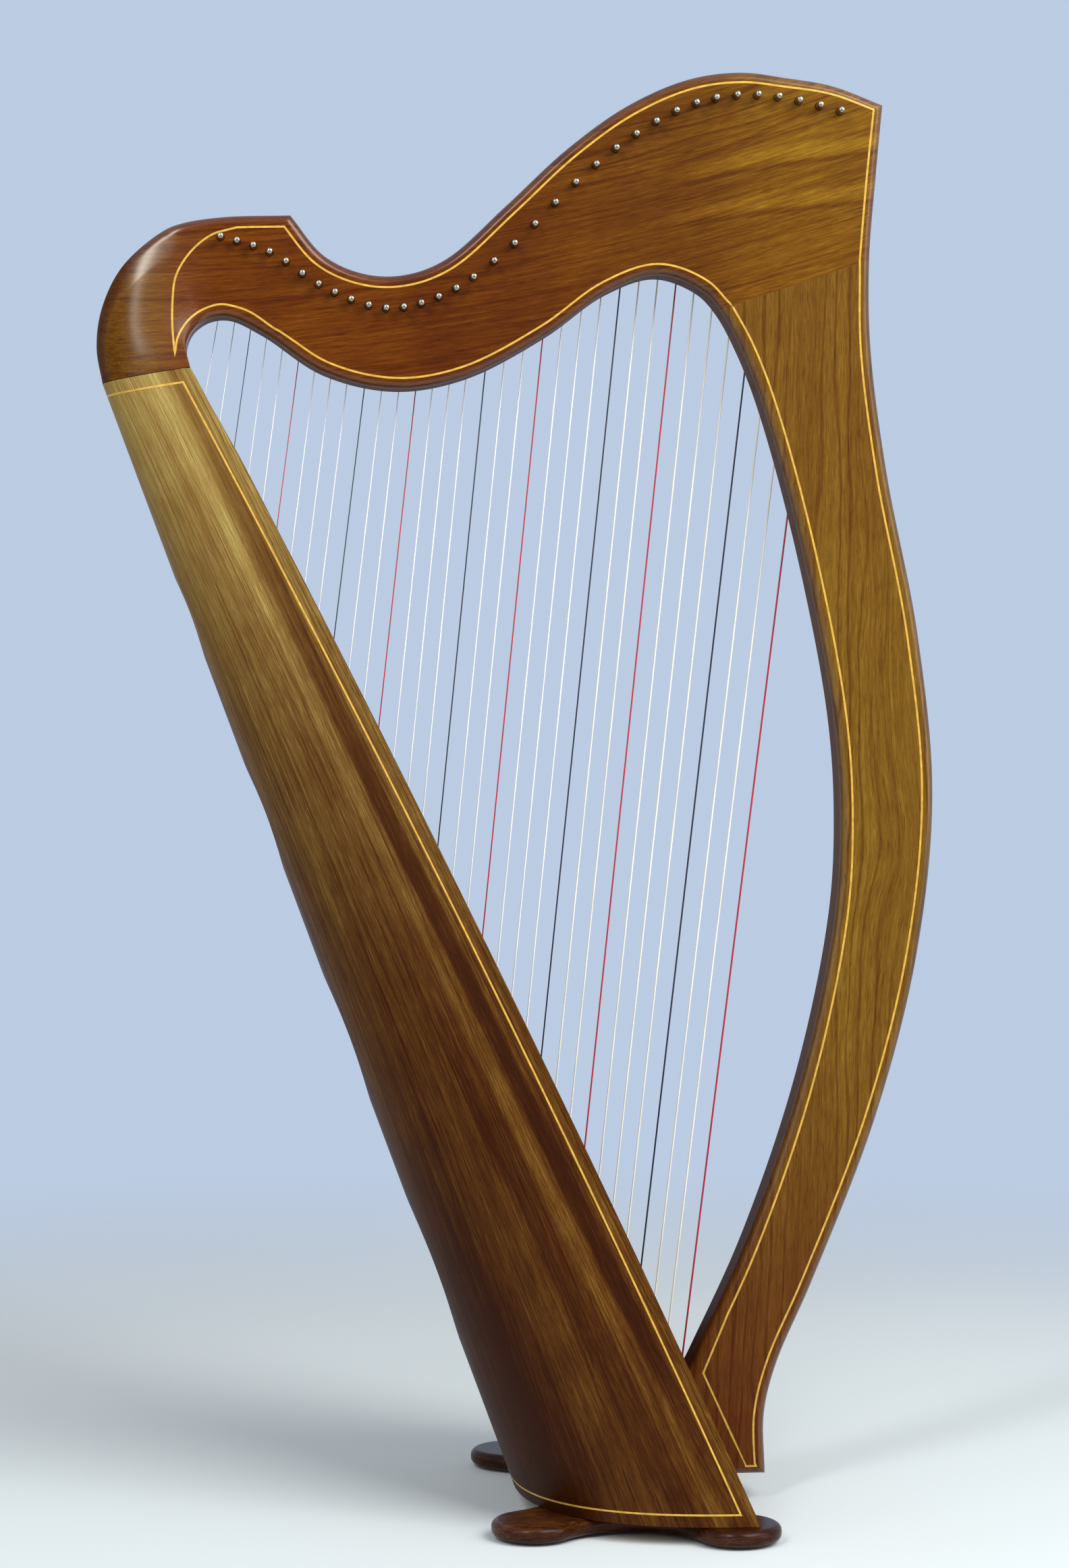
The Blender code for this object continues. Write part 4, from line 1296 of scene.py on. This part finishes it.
class HARP_OT_line(bpy.types.Operator):
    """Let the pale maple line into both faces of neck and pillar and round the sound box"""

    bl_idname = "harp.line"
    bl_label = "Maple line"

    def execute(self, context):
        objects = bpy.data.objects
        maple = maple_line()
        board = surface_of(*(objects[n] for n in ("neck_board", "shoulder_carving", "pillar_board")))
        path = self.board_path()
        for name, side in (("neck_line_near", -1), ("neck_line_far", 1)):
            self.lay_on_board(name, path, board, side, maple)
        self.lay_on_box(surface_of(objects["sound_box"]), maple)
        return {"FINISHED"}

    @staticmethod
    def board_path():
        """The line's closed run on a face, anticlockwise."""
        head = smooth(LINE_TIP, 6)
        top = beside(smooth(HEAD_TOP), LINE_IN_HEAD, -1)
        top = [p for p in top if p.x > head[-1].x + 4 * MM]
        run = head + top
        run = joined(run, beside(smooth(NECK_TOP), LINE_IN_NECK_TOP, -1))
        run = joined(run, beside(smooth(CREST_SIDE), LINE_IN_CREST, -1))
        run = joined(run, beside(smooth(PILLAR_OUTSIDE), LINE_IN_PILLAR_OUT, -1))
        foot = metres(LINE_FOOT)
        run = [p for p in run if p.y > foot[0].y or p.x < 0] + foot
        inside = beside(smooth(PILLAR_INSIDE)[::-1], LINE_IN_PILLAR_IN[::-1], -1)
        inside = [p for p in inside if p.y > foot[-1].y + 45 * MM]
        run += inside
        low = beside(smooth(NECK_INSIDE)[::-1], LINE_IN_NECK_IN, -1)
        tip = smooth(LINE_LOW_TIP, 6)
        low = [p for p in low if p.x > tip[0].x + 3 * MM]
        run = joined(run, low) + tip
        return run[::-1]

    @staticmethod
    def lay_on_board(name, path, surface, side, maple):
        looks = bpy.context.scene.harp_line
        half = looks.width / 2
        edges = [moved_in(path, [amount] * len(path)) for amount in (-half, half)]
        rows = []
        for pair in zip(*edges):
            row = []
            for point in pair:
                spot = surface.ray_cast(Vector((point.x, side * 0.2, point.y)),
                                        Vector((0, -side, 0)))
                if spot[0] is None:
                    raise RuntimeError("the line runs off the wood")
                row.append(spot)
            rows.append(row)
        shape = bmesh.new()
        ribbon(shape, [r[0][0] for r in rows], [r[1][0] for r in rows],
               [Vector((0, side, 0)) for r in rows], looks.proud, 0.25 * MM)
        piece = new_object(name, closed_mesh(shape, name))
        piece.data.materials.append(maple)
        ride_on_frame(piece)

    @staticmethod
    def lay_on_box(surface, maple):
        looks = bpy.context.scene.harp_line
        height = 1049.0 * MM

        def border(inset):
            top = 1 - (11.0 * MM + inset) / height
            low = (10.0 * MM + inset) / height
            steps = 60
            points = []
            for k in range(steps):
                t = top + (low - top) * k / steps
                points.append(on_shell(t, front_turn(t, 6.6 * MM + inset)))
            start = front_turn(low, 6.6 * MM + inset)
            for k in range(steps):
                points.append(on_shell(low, start + (math.pi - 2 * start) * k / steps))
            for k in range(steps):
                t = low + (top - low) * k / steps
                points.append(on_shell(t, math.pi - front_turn(t, 6.6 * MM + inset)))
            start = front_turn(top, 6.6 * MM + inset)
            for k in range(steps):
                points.append(on_shell(top, math.pi - start - (math.pi - 2 * start) * k / steps))
            return points

        lefts, rights, normals = [], [], []
        for left, right in zip(border(0.0), border(looks.width)):
            first = surface.find_nearest(left)
            second = surface.find_nearest(right)
            lefts.append(first[0])
            rights.append(second[0])
            normals.append(((first[1] + second[1]) / 2).normalized())
        shape = bmesh.new()
        ribbon(shape, lefts, rights, normals, looks.proud, 0.25 * MM)
        piece = new_object("box_line", closed_mesh(shape, "box_line"))
        piece.data.materials.append(maple)
        ride_on_frame(piece)


class HARP_OT_strings(bpy.types.Operator):
    """String the harp, with the band at the strings' feet and the bridge pins"""

    bl_idname = "harp.strings"
    bl_label = "Strings and bridge pins"

    def execute(self, context):
        looks = context.scene.harp_strings
        pins = pin_places()
        kinds = {
            "strings_clear": (string_finish("clear_nylon", looks.clear), []),
            "strings_white": (string_finish("white_nylon", looks.white), []),
            "strings_red": (string_finish("red_nylon", looks.red), []),
            "strings_dark": (string_finish("dark_nylon", looks.dark), []),
        }
        for index in range(STRINGS):
            kinds[string_kind(index)][1].append(index)
        tree, nodes, given = shape_tree("string_run", [("Sides", "Int"), ("Finish", "Material")])
        run = nodes.add("GeometryNodeMeshToCurve", None, {0: given["Geometry"]})
        width = nodes.add("GeometryNodeInputNamedAttribute", {"data_type": "FLOAT"},
                          {"Name": "string_radius"})
        section = nodes.add("GeometryNodeCurvePrimitiveCircle", None,
                            {"Resolution": given["Sides"], "Radius": 1.0})
        tube = nodes.add("GeometryNodeCurveToMesh", None,
                         {0: run, 1: section, "Scale": width, "Fill Caps": True})
        end_tree(nodes, tube, given["Finish"])
        for name, (finish, members) in kinds.items():
            mesh = self.centre_lines(members, pins)
            piece = grown(name, tree, {"Sides": 10, "Finish": finish}, mesh)
            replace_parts(ride_on_frame(piece), "strings")
        self.make_band(pins)
        self.make_bridge_pins(pins)
        return {"FINISHED"}

    @staticmethod
    def centre_lines(members, pins):
        """One run of edges for each string, with its radius on its points."""
        points, edges, radii = [], [], []
        for index in members:
            foot, stop, top = string_route(index, pins[index])
            bend = string_radius(index) * 3
            before = stop + (foot - stop).normalized() * bend
            after = stop + (top - stop).normalized() * bend
            start = len(points)
            points += [foot, before, stop.lerp((before + after) / 2, 0.3), after, top]
            edges += [(start + k, start + k + 1) for k in range(4)]
            radii += [string_radius(index)] * 5
        mesh = bpy.data.meshes.new("centre_lines")
        mesh.from_pydata(points, edges, [])
        layer = mesh.attributes.new("string_radius", "FLOAT", "POINT")
        layer.data.foreach_set("value", radii)
        return mesh

    @staticmethod
    def make_band(pins):
        last = string_route(STRINGS - 1, pins[-1])[0].z - BAND_PAST_STRING
        band = HARP_OT_soundbox.strip("string_band", last, BOX_TOP_FRONT_Z - STRIP_SHORT,
                                      -BAND_THICK, -GAP, BAND_HALF_LOW, BAND_HALF_TOP, 60.0 * MM)
        band.data.materials.append(bpy.data.materials["box_walnut"])
        shade(band)
        ride_on_frame(band)

    @staticmethod
    def make_bridge_pins(pins):
        """Small grooved pins on the far face, which end the strings' sounding length."""
        shape = bmesh.new()
        groove = STRING_OUT - BOARD_HALF
        profile = [(-3.0, 2.0), (10.6, 2.0), (11.4, 1.75), (groove / MM, 1.62), (14.6, 1.75),
                   (15.4, 2.0), (16.2, 2.0), (16.8, 1.6), (17.0, 1.0)]
        turned(shape, [(a * MM, r * MM) for a, r in profile], 16, Vector(), Vector((0, 1, 0)))
        pattern = new_object("bridge_pin_pattern", closed_mesh(shape, "bridge_pin_pattern"))
        places = []
        for index, pin in enumerate(pins):
            stop = string_route(index, pin)[1]
            places.append(Vector((stop.x + BRIDGE_RADIUS + GAP + string_radius(index), BOARD_HALF,
                                  stop.z)))
        mesh = bpy.data.meshes.new("bridge_pin_places")
        mesh.from_pydata(places, [], [])
        tree, nodes, given = shape_tree("row_of_pins", [("Pattern", "Object"),
                                                        ("Finish", "Material")])
        pattern_shape = nodes.add("GeometryNodeObjectInfo", None, {"Object": given["Pattern"]},
                                  out="Geometry")
        row = nodes.add("GeometryNodeInstanceOnPoints", None,
                        {"Points": given["Geometry"], "Instance": pattern_shape})
        end_tree(nodes, row, given["Finish"])
        piece = grown("bridge_pins", tree, {"Pattern": pattern, "Finish": nickel()}, mesh)
        bpy.data.objects.remove(pattern)
        shade(piece)
        ride_on_frame(piece)


class HARP_OT_tuning_pins(bpy.types.Operator):
    """Make the tuning pins with their square ends, and wind each string on its pin"""

    bl_idname = "harp.tuning_pins"
    bl_label = "Tuning pins"

    def execute(self, context):
        looks = context.scene.harp_strings
        plate = nickel()
        pattern = self.pattern()
        pin_tree, nodes, given = shape_tree(
            "driven_pin", [("Pattern", "Object"), ("Place", "Vector"), ("Turn", "Rotation"),
                           ("Finish", "Material")])
        shape = nodes.add("GeometryNodeObjectInfo", None, {"Object": given["Pattern"]},
                          out="Geometry")
        placed = nodes.add("GeometryNodeTransform", None,
                           {"Geometry": shape, "Translation": given["Place"],
                            "Rotation": given["Turn"]})
        end_tree(nodes, placed, given["Finish"])
        coil_tree = self.coil_tree()
        for index, pin in enumerate(pin_places()):
            number = f"{index + 1:02d}"
            turn = (0.0, math.radians((index * 37) % 90), 0.0)
            piece = grown("pin_" + number, pin_tree,
                          {"Pattern": pattern, "Place": pin, "Turn": turn, "Finish": plate})
            shade(piece)
            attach(piece, f"tuning_pin_{number}_body")
            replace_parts(piece, "tuning_pin_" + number)
            radius = string_radius(index)
            height = looks.turns * radius * 2.08
            coil = grown("winding_" + number, coil_tree, {
                "Turns": looks.turns, "Coil radius": PIN_RADIUS + radius * 0.96,
                "Height": height, "String radius": radius,
                "Place": pin + Vector((0, STRING_OUT_AT_PIN, 0)),
                "Finish": bpy.data.materials[string_material(index)]})
            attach(coil, f"tuning_pin_{number}_body")
        bpy.data.objects.remove(pattern)
        return {"FINISHED"}

    @staticmethod
    def pattern():
        """A pin along Y: crowned square drive end, then a round shank with a rounded tip."""
        sides = 32
        square_end = PIN_NEAR_END + SQUARE_LENGTH
        stations = [
            (PIN_NEAR_END, 0.16, 0.1), (PIN_NEAR_END + 0.12 * MM, 0.42, 0.15),
            (PIN_NEAR_END + 0.4 * MM, 0.66, 0.3), (PIN_NEAR_END + 0.9 * MM, 0.85, 0.5),
            (PIN_NEAR_END + 1.6 * MM, 0.96, 0.75), (PIN_NEAR_END + 2.5 * MM, 1.0, 1.0),
            (square_end - 1.0 * MM, 1.0, 1.0), (square_end + 0.2 * MM, 1.0, 0.6),
            (square_end + 1.0 * MM, 1.0, 0.0), (PIN_FAR_END - 1.0 * MM, 1.0, 0.0),
            (PIN_FAR_END - 0.4 * MM, 0.93, 0.0), (PIN_FAR_END, 0.72, 0.0),
        ]
        rings = []
        for y, size, squared in stations:
            ring = []
            for k in range(sides):
                angle = 2 * math.pi * k / sides
                c, s = math.cos(angle), math.sin(angle)
                square = SQUARE_HALF / (abs(c) ** 4 + abs(s) ** 4) ** (1 / 4)
                reach = (PIN_RADIUS + (square - PIN_RADIUS) * squared) * size
                ring.append(Vector((reach * c, y, reach * s)))
            rings.append(ring)
        shape = bmesh.new()
        skin(shape, rings)
        return new_object("pin_pattern", closed_mesh(shape, "pin_pattern"))

    @staticmethod
    def coil_tree():
        tree, nodes, given = shape_tree("wound_string", [
            ("Turns", "Float"), ("Coil radius", "Float"), ("Height", "Float"),
            ("String radius", "Float"), ("Place", "Vector"), ("Finish", "Material")])
        coil = nodes.add("GeometryNodeCurveSpiral", None, {
            "Resolution": 20, "Rotations": given["Turns"], "Start Radius": given["Coil radius"],
            "End Radius": given["Coil radius"], "Height": given["Height"]})
        laid = nodes.add("GeometryNodeTransform", None,
                         {"Geometry": coil, "Translation": given["Place"],
                          "Rotation": (math.pi / 2, 0.0, 0.0)})
        section = nodes.add("GeometryNodeCurvePrimitiveCircle", None,
                            {"Resolution": 8, "Radius": given["String radius"]})
        tube = nodes.add("GeometryNodeCurveToMesh", None, {0: laid, 1: section, "Fill Caps": True})
        end_tree(nodes, tube, given["Finish"])
        return tree


class HARP_OT_base(bpy.types.Operator):
    """Make the four-lobed base with its felt pads and screws"""

    bl_idname = "harp.base"
    bl_label = "Base"

    def execute(self, context):
        middle = PLATE_LOW + PLATE_THICK / 2
        plate = rounded_board("base_board", self.outline(), (), PLATE_THICK / 2, PLATE_ROUND,
                              lambda p, h: Vector((p.x, p.y, middle + h)))
        sinks = bmesh.new()
        for x, y in SCREW_PLACES:
            for side in (-1, 1):
                profile = [(1.3, 5.6), (2.6, 5.6), (5.1, 3.1), (20.0, 3.1)]
                turned(sinks, [(a * MM, r * MM) for a, r in profile], 24,
                       Vector((x, side * y, 0)), Vector((0, 0, 1)))
        cut_with(plate, sinks)
        plate.data.materials.clear()
        plate.data.materials.append(wood("base_walnut", board_run(0.1), (0.105, 0.040, 0.010),
                                         depth=0.10, coat=0.25, roughness=0.32))
        shade(plate)
        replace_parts(ride_on_frame(plate), "base_plate")
        soft, metal = felt(), steel()
        for k in range(1, 5):
            dress(f"foot_pad_{k}", soft)
            dress(f"base_screw_{k}", metal)
        return {"FINISHED"}

    @staticmethod
    def outline():
        """Four round lobes joined by hollow sides, anticlockwise."""
        lobes = [Vector((REAR_LOBE[0], -REAR_LOBE[1])), Vector((FRONT_LOBE[0], -FRONT_LOBE[1])),
                 Vector((FRONT_LOBE[0], FRONT_LOBE[1])), Vector((REAR_LOBE[0], REAR_LOBE[1]))]

        def arc(centre, radius, start, end, steps):
            turns = [start + (end - start) * k / steps for k in range(steps + 1)]
            return [centre + Vector((math.cos(a), math.sin(a))) * radius for a in turns]

        hollows = []
        for i, depth in enumerate(WAIST_DEPTHS):
            first, second = lobes[i], lobes[(i + 1) % 4]
            chord = second - first
            half = chord.length / 2
            radius = (half * half + depth * depth - LOBE_RADIUS ** 2) / (2 * (LOBE_RADIUS + depth))
            out = Vector((chord.y, -chord.x)).normalized()
            centre = (first + second) / 2 + out * (radius - depth)
            start = math.atan2(*(first - centre).yx)
            end = math.atan2(*(second - centre).yx)
            while end > start:
                end -= 2 * math.pi
            hollows.append(arc(centre, radius, start, end, 24))
        run = []
        for i, lobe in enumerate(lobes):
            entry = hollows[i - 1][-1] - lobe
            leave = hollows[i][0] - lobe
            start = math.atan2(entry.y, entry.x)
            end = math.atan2(leave.y, leave.x)
            while end < start:
                end += 2 * math.pi
            run += arc(lobe, LOBE_RADIUS, start, end, 32)
            run += hollows[i][1:-1]
        return run


class HARP_OT_inner_parts(bpy.types.Operator):
    """Finish the parts inside the sound box and the joints"""

    bl_idname = "harp.inner_parts"
    bl_label = "Inner parts"

    def execute(self, context):
        pale = wood("inner_spruce", board_run(math.pi / 2 + BOX_LEAN), (0.62, 0.43, 0.22),
                    depth=0.5, coat=0.0, roughness=0.6, pores=0.0)
        for node in ("string_rib", "lining_left", "lining_right", "box_floor", "pillar_block",
                     "neck_dowel_1", "neck_dowel_2"):
            dress(node, pale)
        dress("pillar_bolt", steel())
        return {"FINISHED"}


class HARP_OT_stage(bpy.types.Operator):
    """Set up the floor, the soft lamps and the camera"""

    bl_idname = "harp.stage"
    bl_label = "Stage"

    def execute(self, context):
        self.lay_floor(context.scene.harp_stage)
        self.light_room(context.scene.harp_stage)
        self.set_camera()
        context.scene.view_settings.view_transform = "Standard"
        return {"FINISHED"}

    @staticmethod
    def lay_floor(looks):
        """A round floor that fades into the backdrop far from the harp."""
        shape = bmesh.new()
        bmesh.ops.create_circle(shape, cap_ends=True, segments=96, radius=9.0)
        mesh = bpy.data.meshes.new("floor")
        shape.to_mesh(mesh)
        shape.free()
        floor = new_object("floor", mesh)
        finish = Finish("floor_paper", Specular_IOR_Level=0.1, Roughness=0.9)
        x, y, z = finish.place()
        away = (x * x + y * y) ** 0.5
        colour = finish.mix(away.step(0.6, 3.0), (*looks.floor, 1.0), (*looks.floor, 1.0))
        mesh.materials.append(finish.feed(Base_Color=colour, Alpha=away.step(2.2, 0.7)))

    @staticmethod
    def light_room(looks):
        world = bpy.data.worlds.new("room")
        bpy.context.scene.world = world
        world.use_nodes = True
        nodes = Nodes(world.node_tree)
        ray = nodes.add("ShaderNodeLightPath").socket.node.outputs
        seen = Value(nodes, ray["Is Camera Ray"]) + Value(nodes, ray["Is Glossy Ray"])
        seen = (seen + Value(nodes, ray["Is Transmission Ray"])).clamped()
        strength = seen * (1.0 - looks.ambient) + looks.ambient
        colour = nodes.mix(seen, (1.0, 1.0, 1.0, 1.0), (*looks.backdrop, 1.0))
        glow = nodes.add("ShaderNodeBackground", None, {"Color": colour, "Strength": strength})
        leave = world.node_tree.nodes.new("ShaderNodeOutputWorld")
        world.node_tree.links.new(glow.socket, leave.inputs[0])
        aim = Vector((0.0, 0.0, 0.65))
        for name, place, wide, high, power in (
                ("key", (1.5, -2.0, 2.6), 2.0, 2.0, looks.key_power),
                ("side", (2.3, -1.1, 1.2), 0.9, 2.2, looks.side_power),
                ("upper_left", (-1.37, -2.42, 2.5), 0.45, 1.6, looks.shoulder_power),
                ("fill", (-2.0, -1.9, 1.4), 1.6, 1.6, looks.fill_power)):
            lamp = bpy.data.lights.new(name, "AREA")
            lamp.shape = "RECTANGLE"
            lamp.size = wide
            lamp.size_y = high
            lamp.energy = power
            lamp.color = looks.warmth
            thing = new_object(name, lamp)
            thing.location = place
            thing.rotation_euler = (aim - Vector(place)).to_track_quat("-Z", "Y").to_euler()

    @staticmethod
    def set_camera():
        camera = bpy.data.cameras.new("view")
        camera.lens = CAMERA_LENS
        camera.sensor_width = 36.0
        camera.clip_end = 60.0
        thing = new_object("view", camera)
        thing.location = CAMERA_PLACE
        way = Vector((math.sin(CAMERA_TURN) * math.cos(CAMERA_DIP),
                      math.cos(CAMERA_TURN) * math.cos(CAMERA_DIP), -math.sin(CAMERA_DIP)))
        thing.rotation_euler = way.to_track_quat("-Z", "Y").to_euler()
        bpy.context.scene.camera = thing


def string_kind(index):
    number = index + 1
    if number in RED_STRINGS:
        return "strings_red"
    if number in DARK_STRINGS:
        return "strings_dark"
    return "strings_white" if number >= FIRST_WHITE_STRING else "strings_clear"


def string_material(index):
    return string_kind(index).replace("strings_", "") + "_nylon"


class HARP_PT_panel(bpy.types.Panel):
    """Lists the harp's pieces and settings in the sidebar"""

    bl_idname = "HARP_PT_panel"
    bl_label = "Harp"
    bl_space_type = "VIEW_3D"
    bl_region_type = "UI"
    bl_category = "Harp"

    def draw(self, context):
        layout = self.layout
        for operator in OPERATORS:
            layout.operator(operator.bl_idname)
        for name, group in GROUPS.items():
            box = layout.box()
            box.label(text=group.__doc__)
            settings = getattr(context.scene, name)
            for field in group.__annotations__:
                box.prop(settings, field)


GROUPS = {"harp_woods": HARP_PG_woods, "harp_line": HARP_PG_line, "harp_strings": HARP_PG_strings,
          "harp_stage": HARP_PG_stage}
OPERATORS = (HARP_OT_stage, HARP_OT_neck, HARP_OT_pillar, HARP_OT_soundbox, HARP_OT_line,
             HARP_OT_strings, HARP_OT_tuning_pins, HARP_OT_base, HARP_OT_inner_parts)


def register():
    for name, group in GROUPS.items():
        bpy.utils.register_class(group)
        setattr(bpy.types.Scene, name, bpy.props.PointerProperty(type=group))
    for operator in OPERATORS:
        bpy.utils.register_class(operator)
    bpy.utils.register_class(HARP_PT_panel)


def unregister():
    bpy.utils.unregister_class(HARP_PT_panel)
    for operator in reversed(OPERATORS):
        bpy.utils.unregister_class(operator)
    for name, group in reversed(GROUPS.items()):
        delattr(bpy.types.Scene, name)
        bpy.utils.unregister_class(group)


def main():
    register()
    bpy.ops.harp.stage()
    bpy.ops.harp.neck()
    bpy.ops.harp.pillar()
    bpy.ops.harp.soundbox()
    bpy.ops.harp.line()
    bpy.ops.harp.strings()
    bpy.ops.harp.tuning_pins()
    bpy.ops.harp.base()
    bpy.ops.harp.inner_parts()


if __name__ == "__main__":
    main()
